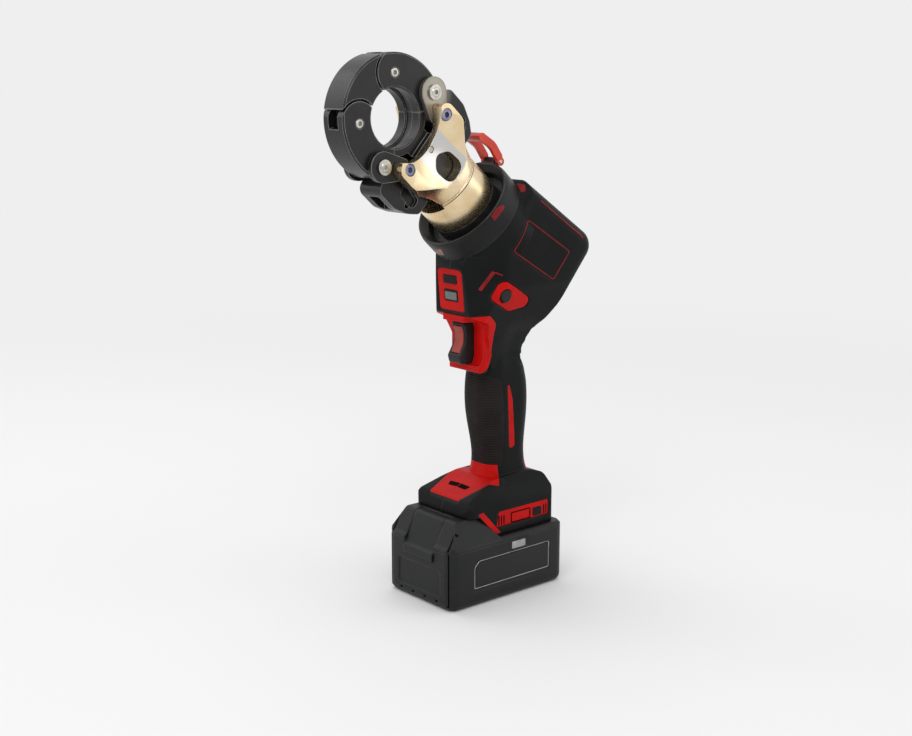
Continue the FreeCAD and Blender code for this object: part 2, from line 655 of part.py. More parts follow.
def front_collar():
    """Collar round the neck, with its bearing flange and the ears of the hanging bail."""
    floor = COLLAR_BACK + 7.0
    r_out = COLLAR_D / 2
    mouth = COLLAR_MOUTH_D / 2
    body = turned([(COLLAR_BACK, NECK_R + FIT), (COLLAR_BACK, r_out), (COLLAR_FRONT - 3.0, r_out, 8.0),
                   (COLLAR_FRONT, r_out - 0.8), (COLLAR_FRONT, r_out - 2.0),
                   (COLLAR_FRONT - 5.0, mouth), (floor, mouth - 1.0), (floor, NECK_R + FIT)])
    ear_half = BAIL_W / 2 - BAIL_T - LINK
    ear = [(BAIL_PIN_A - 3.4, r_out - 3.0), (BAIL_PIN_A - 3.1, BAIL_PIN_P + 2.8, 2.8),
           (BAIL_PIN_A + 3.1, BAIL_PIN_P + 2.8, 2.8), (BAIL_PIN_A + 3.4, r_out - 3.0)]
    body = body.fuse(plate(ear, -ear_half, ear_half))
    return body.cut(disc((BAIL_PIN_A, BAIL_PIN_P), BAIL_PIN_D / 2 + FIT / 2, -BAIL_W, BAIL_W))


def hang_bail():
    """Bail that the tool hangs by: two curved legs and a cross bar."""
    pin = (BAIL_PIN_A, BAIL_PIN_P)
    points = [(-3.0, -0.5, 2.5), (2.0, 4.5, 5.0), (14.0, 7.0, 14.0), (30.0, 4.0, 3.0), (28.5, -1.8, 2.5),
              (14.0, 0.9, 14.0), (3.5, -1.6, 1.5)]
    points = [(pin[0] + a, pin[1] + p, corner) for a, p, corner in points]
    half = BAIL_W / 2
    front = pin[0] + 30.0
    legs = both_sides(half - BAIL_T, half, lambda y0, y1: plate(points, y0, y1))
    bar = plate(points, -half, half).common(block(front - 6.5, front + 1, -half, half, 0, 80))
    boss = both_sides(half - BAIL_T, half, lambda y0, y1: disc(pin, 3.2, y0, y1))
    body = legs[0].fuse([legs[1], bar] + boss)
    return body.cut(disc(pin, BAIL_PIN_D / 2 + FIT, -half, half)).removeSplitter()


# Pump, gearbox and motor

def pump_block():
    """Pump casting bolted behind the cylinder, with ports and the bore of its drive shaft."""
    body = tube(PUMP_BACK, CYLINDER_BACK - SEAT, PUMP_D / 2)
    spigot = tube(CYLINDER_BACK - SEAT, CYLINDER_BACK + 6.0, PISTON_D / 2 - FIT)
    body = body.fuse(spigot)
    bore = tube(PUMP_BACK, PUMP_BACK + PUMP_L - 5.0, CAM_R + SLIDE)
    return body.cut(bore).removeSplitter()


def ring_gear():
    """Gearbox casing with its inner gear."""
    casing = tube(GEAR_BACK, PUMP_BACK - SEAT, GEAR_D / 2)
    hollow = tube(GEAR_BACK + 3.0, PUMP_BACK - SEAT, PLANET_ORBIT + PLANET_D / 2 + SLIDE)
    return casing.cut([hollow, tube(GEAR_BACK, GEAR_BACK + 3.0, SUN_D / 2 + SLIDE)])


def planet_gear(k):
    """One of the three planet gears round the sun gear."""
    y, z = polar(PLANET_ORBIT, 90 + 120 * k)
    gear = tube(GEAR_BACK + 3.5, GEAR_BACK + 9.0, PLANET_D / 2, PLANET_PIN_D / 2 + FIT)
    gear.translate(Vector(0, y, z))
    return gear


def planet_carrier():
    """Carrier with its three pins and the eccentric that drives the pump."""
    front = PUMP_BACK - SEAT
    body = tube(GEAR_BACK + 9.3, front - SLIDE, PLANET_ORBIT + 3.0, SHAFT_D / 2 + SLIDE)
    for k in range(3):
        y, z = polar(PLANET_ORBIT, 90 + 120 * k)
        pin = tube(GEAR_BACK + 3.5, GEAR_BACK + 9.5, PLANET_PIN_D / 2)
        pin.translate(Vector(0, y, z))
        body = body.fuse(pin)
    hub = tube(front - SLIDE, front + 2.0, CAM_R - 2.0)
    cam = tube(front + 2.0, PUMP_BACK + PUMP_L - 5.5, CAM_R - 1.2)
    cam.translate(Vector(0, 0, 1.0))
    return body.fuse([hub, cam]).removeSplitter()


def motor_stator():
    """Motor can with end plates and bearing seats."""
    front = GEAR_BACK - SEAT
    can = tube(MOTOR_BACK, front, MOTOR_D / 2)
    hollow = tube(MOTOR_BACK + 2.5, front - 2.5, ROTOR_D / 2 + SLIDE)
    return can.cut([hollow, tube(MOTOR_BACK, front, SHAFT_D / 2 + 0.5)])


def motor_rotor():
    """Rotor on its shaft with the sun gear in front."""
    front = GEAR_BACK - SEAT
    core = tube(MOTOR_BACK + 3.5, front - 3.5, ROTOR_D / 2)
    shaft = tube(MOTOR_BACK - 3.0, GEAR_BACK + 9.0, SHAFT_D / 2)
    sun = tube(GEAR_BACK + SLIDE, GEAR_BACK + 9.0, SUN_D / 2)
    return core.fuse([shaft, sun]).removeSplitter()


# Housing

def body_face():
    """Side view of the housing's body, from the barrel back to the rear end."""
    top = head_point(COLLAR_BACK, BARREL_D / 2 - 1.0)
    low = head_point(COLLAR_BACK, -BARREL_D / 2 + 3.0)
    points = [(low[0], low[1]), (top[0], top[1]), (-96.5, 268.5, 14.0), (-57.0, 221.0, 12.0),
              (-42.5, 206.5, 9.0), (-37.0, 176.0), (0.0, 176.0, 8.0), (11.0, 213.0, 6.0), (25.0, 219.0, 5.0),
              (28.5, 255.0, 3.0)]
    return Part.Face(outline(points))


def rounded_prism(face, half, radius):
    """Prism of an XZ face with every edge of its two sides rounded."""
    solid = face.extrude(Vector(0, 2 * half, 0))
    solid.translate(Vector(0, -half, 0))
    rims = [e for e in solid.Edges if all(abs(abs(v.Y) - half) < 1e-6 for v in e.Vertexes)]
    rims = [e for e in rims if abs(e.Vertexes[0].Y - e.Vertexes[-1].Y) < 1e-6]
    return solid.makeFillet(radius, rims)


def body_solid(inset):
    """The housing's body, or its cavity when inset."""
    face = body_face()
    if inset > 0.0:
        face = face.makeOffset2D(-inset)
    solid = rounded_prism(face, BODY_H - inset, BODY_EDGE - inset)
    section = [(half, z, 10.0) for z, half in FLANKS[1:]]
    section = [(FLANKS[0][1], FLANKS[0][0])] + section + [(BODY_H, 400.0)]
    section += [(-q[0], q[1]) + tuple(q[2:]) for q in reversed(section)]
    solid = solid.common(cross_prism(section, -140.0, 60.0, inset))
    return solid.common(plan_prism(NOSE, 150.0, 400.0, inset))


def side_half(z):
    """Half width of the housing's flat side at a height."""
    if z < FLANKS[0][0]:
        return GRIP_H
    for (z0, h0), (z1, h1) in zip(FLANKS, FLANKS[1:]):
        if z < z1:
            return h0 + (h1 - h0) * (z - z0) / (z1 - z0)
    return BODY_H


def barrel_solid(inset):
    """Round barrel behind the collar, or its cavity when inset."""
    front = COLLAR_BACK if inset > 0.0 else COLLAR_BACK - SEAT
    return to_world(tube(BARREL_BACK, front, BARREL_D / 2 - inset))


def grip_section(z, back, front, half, corner, inset):
    """Rounded rectangle across the grip at one height."""
    x0 = back + inset
    x1 = front - inset
    h = half - inset
    r = corner - inset
    low = [Vector(x0 + r, -h, z), Vector(x1 - r, -h, z), Vector(x1, -h + r, z), Vector(x1, h - r, z)]
    high = [Vector(x1 - r, h, z), Vector(x0 + r, h, z), Vector(x0, h - r, z), Vector(x0, -h + r, z)]
    ring = low + high
    s = r * math.sqrt(0.5)
    tops = [Vector(x1 - r + s, -h + r - s, z), Vector(x1 - r + s, h - r + s, z),
            Vector(x0 + r - s, h - r + s, z), Vector(x0 + r - s, -h + r - s, z)]
    edges = []
    for k in range(4):
        a, b = ring[2 * k], ring[2 * k + 1]
        c = ring[(2 * k + 2) % 8]
        edges.append(Part.LineSegment(a, b).toShape())
        edges.append(Part.Arc(b, tops[k], c).toShape())
    return Part.Wire(edges)


def grip_solid(inset):
    """Hand grip, waisted under the trigger and swelling at the palm."""
    half = GRIP_H
    sections = [(86.0, -46.0, 2.0, half, 13.0), (104.0, -41.5, -1.5, half - 1.0, 14.0),
                (143.0, -44.0, 5.0, half, 15.0), (176.0, -41.0, 3.0, half - 0.5, 14.0),
                (214.0, -42.0, 6.0, half + 1.0, 14.0)]
    wires = []
    for z, back, front, h, corner in sections:
        wires.append(grip_section(z, back, front, h, corner, inset))
    return Part.makeLoft(wires, True)


def foot_solid(inset):
    """Foot that slides over the battery's rails, with a sloping deck and chamfered sides."""
    side = [(FOOT_FRONT, FOOT_NOSE_Z), (FOOT_FRONT, 71.0), (33.0, 79.5, 3.0), (3.0, 90.0, 6.0),
            (-36.0, 91.5), (FOOT_BACK + 4.0, 88.0, 5.0), (FOOT_BACK, 78.0, 3.0), (FOOT_BACK, FOOT_BOTTOM),
            (SLOPE_LOW, FOOT_BOTTOM), (SLOPE_TOP, FOOT_NOSE_Z)]
    across = [(-FOOT_H, FOOT_BOTTOM), (FOOT_H, FOOT_BOTTOM), (FOOT_H, 72.0, 3.0), (FOOT_H - 8.0, 86.0, 6.0),
              (16.0, 96.0), (-16.0, 96.0), (8.0 - FOOT_H, 86.0, 6.0), (-FOOT_H, 72.0, 3.0)]
    above = [(FOOT_BACK, -FOOT_H, 5.0), (FOOT_FRONT, -FOOT_H, 9.0), (FOOT_FRONT, FOOT_H, 9.0),
             (FOOT_BACK, FOOT_H, 5.0)]
    prism = profile(side, inset).extrude(Vector(0, FOOT_W, 0))
    prism.translate(Vector(0, -FOOT_H, 0))
    body = prism.common(cross_prism(across, -80.0, 60.0, inset))
    return body.common(plan_prism(above, 0.0, 120.0, inset))


def outer_solid(inset):
    """The whole moulded housing, or the same form drawn inwards."""
    return body_solid(inset).fuse([barrel_solid(inset), grip_solid(inset), foot_solid(inset)])


def cradle_ribs():
    """Ribs in the body that hold the cylinder, pump, gearbox and motor."""
    spots = [(CYLINDER_BACK + 9.0, NECK_R), (PUMP_BACK + 6.0, PUMP_D / 2),
             (GEAR_BACK + 5.0, GEAR_D / 2), (MOTOR_BACK + 6.0, MOTOR_D / 2)]
    ribs = []
    for a, radius in spots:
        ribs.append(to_world(tube(a - 1.5, a + 1.5, BODY_H + 1.0, radius + SEAT)))
    return ribs


def screw_bosses():
    """Bosses that the housing screws run through."""
    return [disc(spot, SCREW_D / 2 + 3.0, -BODY_H, BODY_H) for spot in SCREW_SPOTS]


def housing_screws():
    """Screws that hold the two halves together, driven from the right."""
    screws = []
    for x, z in SCREW_SPOTS:
        deep = screw_face((x, z))
        head = disc((x, z), SCREW_HEAD_D / 2 - SEAT, deep, deep + 3.0)
        socket = disc((x, z), 1.5, deep, deep + 1.5)
        shank = disc((x, z), SCREW_D / 2 - FIT, deep + 3.0, SCREW_END)
        screws.append(head.fuse(shank).cut(socket).removeSplitter())
    return Part.makeCompound(screws)


def screw_face(spot):
    """Depth of a screw head's outer face: 3 mm under the surface of the right half."""
    return 3.0 - side_half(spot[1])


def screw_holes():
    """Counterbore and hole for each housing screw."""
    holes = []
    for x, z in SCREW_SPOTS:
        deep = screw_face((x, z))
        holes.append(disc((x, z), SCREW_HEAD_D / 2, -BODY_H - 5.0, deep + 3.0))
        holes.append(disc((x, z), SCREW_D / 2, deep + 3.0, SCREW_END + 1.0))
    return holes


def rail_channel():
    """Space in the foot for the battery's rails, open to the front."""
    low = block(RAIL_BACK - 1.0, 60.0, -RAIL_W / 2 - LINK, RAIL_W / 2 + LINK, FOOT_BOTTOM - 1, RAIL_TOP + LINK)
    high = block(RAIL_BACK - 1.0, 60.0, -RAIL_FLANGE_W / 2 - LINK, RAIL_FLANGE_W / 2 + LINK,
                 RAIL_TOP - RAIL_FLANGE_H - LINK, RAIL_TOP + LINK)
    return low.fuse(high)


def side_region(points, inner=0.0):
    """Prisms on both sides that mark an area of the housing, from a depth outwards."""
    left, right = both_sides(inner, 60.0, lambda y0, y1: plate(points, y0, y1))
    return left.fuse(right)


def trim_regions():
    """Areas of the housing that are covered by inset trim, by node name."""
    front = [(14.0, 222.0, 2.0), (14.0, 254.0, 4.0), (-14.0, 254.0, 4.0), (-14.0, 222.0, 2.0)]
    deck = [(33.5, -17.0, 1.0), (33.5, 17.0, 1.0), (0.0, 25.0), (-8.0, 25.0), (-8.0, -25.0), (0.0, -25.0)]
    rear = [(-54.0, 82.0), (-35.0, 82.0), (-35.0, 99.0), (-54.0, 99.0)]
    regions = {
        "side_panels": side_region(PANEL),
        "lock_bezels": side_region(LOCK_BEZEL),
        "grip_stripes": side_region(STRIPE),
        "foot_inserts": side_region(INSERT, FOOT_H - TRIM_T),
        "foot_strips": side_region(STRIP, FOOT_H - TRIM_T),
        "front_panel": cross_prism(front, 18.0, 40.0),
        "foot_trims": plan_prism(deck, 76.0, 99.0).fuse(plate(rear, -15.0, 15.0)),
    }
    return regions


def trigger_bezel(outer, inner):
    """C-shaped surround of the trigger, let into the grip and open to the front."""
    nose = plan_prism(SURROUND_PLAN, 165.0, 225.0)
    shell = plate(SURROUND_OUT, -BODY_H, BODY_H).common(outer.fuse(nose))
    shell = shell.cut([plate(SURROUND_IN, -BODY_H, BODY_H), inner])
    gap = TRIGGER_W / 2 + SLIDE
    shell = shell.cut(block(-10.0, 60.0, -gap, gap, TRIGGER_LOW - SLIDE, TRIGGER_HIGH + SLIDE))
    return largest(shell)


def trigger_room():
    """Space behind the trigger for its stem, switch and travel."""
    gap = TRIGGER_W / 2 + SLIDE
    return block(-34.0, 40.0, -gap, gap, TRIGGER_LOW - SLIDE, TRIGGER_HIGH + SLIDE)


def trigger():
    """Trigger with a curved finger face, a lower lip and a stem to the switch."""
    points = [(20.5, TRIGGER_HIGH, 2.0), (18.0, 206.0, 10.0), (18.0, 197.0, 12.0), (24.0, 187.0, 1.5),
              (22.5, TRIGGER_LOW, 1.5), (6.0, TRIGGER_LOW, 1.0), (6.0, TRIGGER_HIGH, 1.0)]
    half = TRIGGER_W / 2
    body = plate(points, -half, half)
    stem = tube(SWITCH_FRONT - 7.0, 6.5, STEM_R)
    stem.translate(Vector(0, 0, SWITCH_Z))
    body = body.fuse(stem)
    return body.cut(insert_seat(SEAT / 2)).removeSplitter()


def insert_seat(extra):
    """Band under the trigger's finger face that holds the insert."""
    back = [(14.5, 210.0), (14.5, 189.0), (30.0, 189.0), (30.0, 210.0)]
    return plate(back, -4.8 - extra, 4.8 + extra)


def trigger_insert():
    """Coloured insert on the trigger's finger face."""
    points = [(20.6, 209.9, 1.0), (18.8, 205.0, 9.0), (18.8, 197.0, 9.0), (23.0, 189.1, 1.0),
              (14.6, 189.1), (14.6, 209.9)]
    return plate(points, -4.8, 4.8)


def trigger_switch():
    """Switch block in the top of the grip."""
    body = block(-32.0, SWITCH_FRONT, -TRIGGER_W / 2, TRIGGER_W / 2, SWITCH_Z - 12.0, SWITCH_Z + 12.0)
    bore = tube(SWITCH_FRONT - 7.5 - TRIGGER_TRAVEL, SWITCH_FRONT, STEM_R + FIT)
    bore.translate(Vector(0, 0, SWITCH_Z))
    return body.cut(bore)


def trigger_spring():
    """Spring between the switch and the trigger."""
    spring = coil(SWITCH_FRONT + SEAT, 6.0 - SEAT, STEM_R + 1.3, 0.5, 5)
    spring.translate(Vector(0, 0, SWITCH_Z))
    return spring


def lock_button():
    """Cross button that locks the trigger, seen on both sides."""
    half = side_half(BUTTON_Z) + BUTTON_TRAVEL - 0.6
    pin = disc((BUTTON_X, BUTTON_Z), BUTTON_D / 2, -half, half)
    rims = [e for e in pin.Edges if e.Closed and abs(abs(e.CenterOfMass.y) - half) < 1e-6]
    return pin.makeFillet(1.2, rims)


def display_board():
    """Circuit board behind the front panel."""
    return block(19.0, 20.6, -13.0, 13.0, 224.0, 252.0)


def display_lens(outer):
    """Window of the display in the front panel."""
    return outer.common(block(20.6, 40.0, -7.5, 7.5, 229.5, 238.0))


def lamp_lens(outer):
    """Window of the status lamps in the front panel."""
    return outer.common(block(20.6, 40.0, -7.5, 7.5, 243.0, 249.0))


def lens_holes():
    """Openings in the front panel and wall for the two windows."""
    return [block(10.0, 40.0, -7.6, 7.6, 229.4, 238.1), block(10.0, 40.0, -7.6, 7.6, 242.9, 249.1)]


def build_housing():
    """Both halves of the housing and every piece let into its surface."""
    nodes = {}
    outer = outer_solid(0.0)
    inner = outer_solid(TRIM_T)
    skin = outer.cut(inner)
    cavity = body_solid(WALL).fuse(barrel_solid(WALL))
    ducts = grip_solid(WALL + RUBBER_T).common(block(-60, 40, -40, 40, 98.0, 230.0))
    cavity = cavity.fuse(ducts)
    keep = cradle_ribs() + screw_bosses()
    cavity = cavity.cut(keep)
    button_hole = disc((BUTTON_X, BUTTON_Z), BUTTON_D / 2 + FIT, -BODY_H - 5, BODY_H + 5)
    cuts = [cavity, rail_channel(), trigger_room(), button_hole, terminal_room(), board_room()]
    cuts += screw_holes() + lens_holes()
    collar_seat = to_world(tube(COLLAR_BACK - SEAT, COLLAR_BACK + 60.0, COLLAR_D))
    rubber = grip_solid(0.0).cut(grip_solid(RUBBER_T)).common(side_region(GRIP_RUBBER))
    surround = trigger_bezel(outer, inner)
    outer_cut = outer.cut(cuts + [collar_seat])
    regions = trim_regions()
    for name, region in regions.items():
        trim = skin.common(region).cut([button_hole] + lens_holes() + [surround, rubber, rail_channel()])
        outer_cut = outer_cut.cut(trim)
        solids = sorted(trim.Solids, key=lambda s: -s.Volume)
        nodes[name] = solids[0] if name == "front_panel" else Part.makeCompound(solids[:2])
    outer_cut = outer_cut.cut([surround, rubber])
    nodes["grip_rubber"] = rubber
    nodes["trigger_bezel"] = surround
    nodes["housing_left"] = largest(outer_cut.common(block(-200, 200, 0, 100, -10, 500)))
    nodes["housing_right"] = largest(outer_cut.common(block(-200, 200, -100, 0, -10, 500)))
    nodes["panel_lenses"] = Part.makeCompound([display_lens(outer), lamp_lens(outer)])
    return nodes


def board_room():
    """Pocket behind the front panel for the circuit board."""
    return block(16.0, 20.7, -13.1, 13.1, 223.9, 252.1)


def terminal_room():
    """Pocket in the foot for the terminal block."""
    return block(-40.1, -9.9, -19.1, 19.1, RAIL_TOP, RAIL_TOP + 9.1)


def terminal_block():
    """Terminal block in the foot with its contact blades."""
    base = block(-40.0, -10.0, -19.0, 19.0, RAIL_TOP + LINK, RAIL_TOP + 9.0)
    blades = [block(-34.0, -16.0, y - 0.4, y + 0.4, RAIL_TOP - 7.0, RAIL_TOP + LINK) for y in BLADES]
    return base.fuse(blades).removeSplitter()


# Battery

def case_solid(inset, top):
    """Outer form of the battery's case up to a height, or its hollow when inset."""
    x = CASE_X - inset
    y = CASE_Y - inset
    body = block(-x, x, -y, y, inset, top)
    upright = [e for e in body.Edges if abs(e.Vertexes[0].Z - e.Vertexes[-1].Z) > 1]
    body = body.makeFillet(CASE_CORNER - inset, upright)
    floor = [e for e in body.Edges if abs(e.CenterOfMass.z - inset) < 1e-6]
    return body.makeFillet(CASE_BOTTOM - inset, floor)


def front_cap_region():
    """Area of the case's front face that the separate front cap takes."""
    return block(CASE_X - CAP_T, CASE_X + 1, -CAP_W / 2, CAP_W / 2, 5.0, CASE_H)


def battery_case():
    """Tub of the battery, open at the top, with a feature line round its base."""
    body = case_solid(0.0, CASE_H - SEAT)
    body = body.cut(case_solid(CASE_WALL, CASE_H))
    body = body.cut([front_cap_region()] + both_sides(
        CASE_Y - LABEL_DEPTH, CASE_Y + 1.0, lambda y0, y1: plate(LABEL, y0, y1)))
    return largest(body)


def front_cap():
    """Cap on the front of the battery."""
    body = case_solid(0.0, CASE_H - SEAT).common(front_cap_region())
    grow = block(CASE_X - CAP_T + SEAT, CASE_X, SEAT - CAP_W / 2, CAP_W / 2 - SEAT, 5.0 + SEAT, CASE_H - SEAT)
    body = body.common(grow)
    recess = cross_prism([(-25.0, 10.0, 2.0), (25.0, 10.0, 2.0), (25.0, 30.0, 2.0), (-25.0, 30.0, 2.0)],
                         CASE_X - CAP_RECESS, CASE_X + 1.0)
    notches = [block(CASE_X - 2.0, CASE_X + 1.0, y - 1.5, y + 1.5, 0.0, 7.0) for y in (-21.0, -7.0, 7.0, 21.0)]
    return body.cut(notches + [recess, latch_room()])


def latch_room():
    """Space in the cap and lid for the latch and its travel."""
    half = LATCH_W / 2 + SLIDE
    x = CASE_X
    low = LATCH_SILL - LATCH_TRAVEL - SLIDE
    points = [(x + 5, low), (x - 3.5, low), (45.0, 55.0), (39.6, 55.0), (39.6, 80.0), (x + 5, 80.0)]
    return plate(points, -half, half)


def battery_latch():
    """Release latch on the sloping front of the battery, with its finger lip."""
    half = LATCH_W / 2
    body = plate(LATCH, -half, half)
    return body


def latch_spring():
    """Spring under the latch."""
    spring = coil(0.0, 60.0 - 55.0 - 2 * SEAT, 1.8, 0.45, 4)
    spring.rotate(Vector(0, 0, 0), Vector(0, 1, 0), -90)
    spring.translate(Vector(43.0, 0, 55.0 + SEAT))
    return spring


def battery_lid():
    """Lid of the battery: top plate, slide rails and the sloping front."""
    x = CASE_X
    y = CASE_Y
    deck = block(-x, x, -y, y, CASE_H, LID_TOP)
    upright = [e for e in deck.Edges if abs(e.Vertexes[0].Z - e.Vertexes[-1].Z) > 1]
    deck = deck.makeFillet(CASE_CORNER, upright)
    rim = [e for e in deck.Edges if abs(e.CenterOfMass.z - LID_TOP) < 1e-6]
    deck = deck.makeChamfer(2.0, rim)
    rail = block(RAIL_BACK, 28.0, -RAIL_W / 2, RAIL_W / 2, CASE_H, RAIL_TOP)
    flange = block(RAIL_BACK, 16.0, -RAIL_FLANGE_W / 2, RAIL_FLANGE_W / 2, RAIL_TOP - RAIL_FLANGE_H, RAIL_TOP)
    nose_z = FOOT_NOSE_Z - LINK
    wedge = plate([(x, CASE_H), (x - 1.0, CASE_H + 1.0), (47.0, nose_z, 3.0), (SLOPE_TOP + LINK, nose_z),
                   (SLOPE_LOW + LINK, LID_TOP), (SLOPE_LOW + LINK, CASE_H)], -y, y)
    flare = [(-y, CASE_H), (y, CASE_H), (y - 1.0, CASE_H + 3.0), (y - 9.5, nose_z + 0.1),
             (9.5 - y, nose_z + 0.1), (1.0 - y, CASE_H + 3.0)]
    wedge = wedge.common(cross_prism(flare, 0, x))
    above = [(0.0, -y), (x, -y, CASE_CORNER), (x, y, CASE_CORNER), (0.0, y)]
    wedge = wedge.common(plan_prism(above, 0.0, 100.0))
    body = deck.fuse([rail, flange, wedge])
    slots = [block(RAIL_BACK - 1.0, -14.0, b - 1.0, b + 1.0, RAIL_TOP - 8.0, RAIL_TOP + 1) for b in BLADES]
    body = body.cut(slots + [latch_room()])
    return largest(body.removeSplitter())


def cells():
    """Ten round cells lying across the battery in two rows."""
    group = []
    for row in range(2):
        for k in range(5):
            x = (k - 2) * CELL_PITCH
            z = CASE_WALL + SEAT + CELL_D / 2 + row * CELL_PITCH
            group.append(disc((x, z), CELL_D / 2, -CELL_L / 2, CELL_L / 2))
    return Part.makeCompound(group)


def cell_board():
    """Battery circuit board on top of the cells."""
    z = CASE_WALL + SEAT + CELL_D / 2 + CELL_PITCH + CELL_D / 2 + SEAT
    return block(-48.0, 40.0, -30.0, 30.0, z, z + 1.6)


def fuel_gauge():
    """Charge button on the left shoulder of the battery."""
    return block(-19.5, -4.5, CASE_Y - 3.4, CASE_Y - 0.3, CASE_H - 8.0, CASE_H - SEAT)


def build_battery():
    """Every piece of the battery pack."""
    gauge = fuel_gauge()
    case = battery_case().cut(gauge)
    return {
        "battery_case": largest(case),
        "battery_front_cap": front_cap(),
        "battery_lid": battery_lid(),
        "battery_latch": battery_latch(),
        "battery_latch_spring": latch_spring(),
        "battery_cells": cells(),
        "battery_board": cell_board(),
        "battery_gauge": gauge,
    }


def build_head():
    """Every piece of the press head, placed in the tool's frame."""
    low_hinge = (HINGE[0], -HINGE[1])
    low_pin = (JAW_PIN[0], -JAW_PIN[1])
    low_fulcrum = (FULCRUM[0], -FULCRUM[1])
    fulcrum_pins = [round_pin(q, FULCRUM_PIN_D / 2, YOKE_H - 0.5, 2.2) for q in (FULCRUM, low_fulcrum)]
    roller_pins = [round_pin((ROLLER_A, s * ROLLER_P), ROLLER_PIN_D / 2, PLATE_OUT) for s in (1, -1)]
    local = {
        "jaw_upper": side_jaw(),
        "jaw_lower": mirror_p(side_jaw()),
        "tip_segment": tip_segment(),
        "rear_die": rear_die(),
        "hinge_pin_upper": round_pin(HINGE, HINGE_PIN_D / 2, RING_H, 1.8),
        "hinge_pin_lower": round_pin(low_hinge, HINGE_PIN_D / 2, RING_H, 1.8),
        "arm_upper": lever_arm(),
        "arm_lower": mirror_p(lever_arm()),
        "jaw_pin_upper": jaw_pin(JAW_PIN),
        "jaw_pin_lower": jaw_pin(low_pin),
        "fulcrum_pins": Part.makeCompound(fulcrum_pins),
        "die_pin": round_pin(DIE_PIN, DIE_PIN_D / 2, YOKE_H - SCOOP_DEPTH - 0.3),
        "yoke": yoke(),
        "roller_upper": roller(1),
        "roller_lower": roller(-1),
        "roller_pins": Part.makeCompound(roller_pins),
        "piston": piston(),
        "piston_seal": piston_seal(),
        "return_spring": coil(PISTON_A + SEAT, GLAND_BACK - SEAT, ROD_D / 2 + 3.0, 1.0, 3),
        "cylinder": cylinder(),
        "thrust_ring": thrust_ring(),
        "front_collar": front_collar(),
        "hang_bail": hang_bail(),
        "hang_pin": round_pin((BAIL_PIN_A, BAIL_PIN_P), BAIL_PIN_D / 2, BAIL_W / 2 + 0.4),
        "pump_block": pump_block(),
        "ring_gear": ring_gear(),
        "planet_gear_1": planet_gear(0),
        "planet_gear_2": planet_gear(1),
        "planet_gear_3": planet_gear(2),
        "planet_carrier": planet_carrier(),
        "motor_stator": motor_stator(),
        "motor_rotor": motor_rotor(),
    }
    return {name: to_world(shape) for name, shape in local.items()}


def build_controls():
    """Trigger, switch, button, boards and screws inside the housing."""
    return {
        "trigger": trigger(),
        "trigger_insert": trigger_insert(),
        "trigger_switch": trigger_switch(),
        "trigger_spring": trigger_spring(),
        "lock_button": lock_button(),
        "display_board": display_board(),
        "terminal_block": terminal_block(),
        "housing_screws": housing_screws(),
    }


def main():
    """Build every node and write one file for each."""
    os.makedirs("parts", exist_ok=True)
    nodes = {}
    nodes.update(build_head())
    nodes.update(build_housing())
    nodes.update(build_controls())
    nodes.update(build_battery())
    for name, shape in nodes.items():
        shape.exportStep("parts/" + name + ".step")
        print(name, len(shape.Solids), round(shape.Volume, 1), shape.isValid())


main()
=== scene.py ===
import json
import math

import bpy
from mathutils import Matrix, Vector

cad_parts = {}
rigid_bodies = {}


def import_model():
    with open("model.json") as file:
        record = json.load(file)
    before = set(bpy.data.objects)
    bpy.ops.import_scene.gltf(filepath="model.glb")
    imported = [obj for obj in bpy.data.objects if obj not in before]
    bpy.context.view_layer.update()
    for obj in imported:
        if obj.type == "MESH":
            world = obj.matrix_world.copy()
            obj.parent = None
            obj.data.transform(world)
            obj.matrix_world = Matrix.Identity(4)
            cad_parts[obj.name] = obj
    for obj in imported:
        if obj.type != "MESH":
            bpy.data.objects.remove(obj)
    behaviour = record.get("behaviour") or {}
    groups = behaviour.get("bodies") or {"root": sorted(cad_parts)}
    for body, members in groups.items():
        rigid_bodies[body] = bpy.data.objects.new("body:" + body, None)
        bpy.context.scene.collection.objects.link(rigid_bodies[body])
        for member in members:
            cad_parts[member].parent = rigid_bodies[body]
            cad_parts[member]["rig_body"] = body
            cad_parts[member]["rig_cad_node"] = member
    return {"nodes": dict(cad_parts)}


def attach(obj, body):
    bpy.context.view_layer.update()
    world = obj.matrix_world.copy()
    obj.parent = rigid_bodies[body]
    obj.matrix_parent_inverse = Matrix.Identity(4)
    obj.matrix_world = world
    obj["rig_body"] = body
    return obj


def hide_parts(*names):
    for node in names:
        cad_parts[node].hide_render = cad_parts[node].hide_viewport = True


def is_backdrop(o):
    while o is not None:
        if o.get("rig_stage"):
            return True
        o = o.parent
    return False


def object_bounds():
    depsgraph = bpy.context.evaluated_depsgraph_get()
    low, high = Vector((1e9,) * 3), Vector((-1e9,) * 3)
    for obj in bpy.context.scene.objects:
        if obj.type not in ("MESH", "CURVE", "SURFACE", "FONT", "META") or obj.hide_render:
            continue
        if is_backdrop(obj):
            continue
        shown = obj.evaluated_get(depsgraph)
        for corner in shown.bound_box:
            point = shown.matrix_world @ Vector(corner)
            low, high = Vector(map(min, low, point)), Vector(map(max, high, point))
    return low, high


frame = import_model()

# Pipe press tool on its battery: black press ring, champagne yoke, black housing with red trims.
# The scene is in metres; mm() turns a maker's millimetres into them.
cadLow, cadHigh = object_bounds()
nodes = frame["nodes"]
print("frame loaded:", len(nodes), "nodes")

# the barrel's lean in degrees and the ring's centre in millimetres
barrel = {"tilt": 42.0, "ringX": 87.0, "ringZ": 366.0}


def mm(*values):
    if len(values) == 1:
        return values[0] / 1000
    return Vector(values) / 1000


def linear(hexText):
    shades = [int(hexText[i:i + 2], 16) / 255 for i in (1, 3, 5)]
    return [s / 12.92 if s <= 0.04045 else ((s + 0.055) / 1.055) ** 2.4 for s in shades] + [1.0]


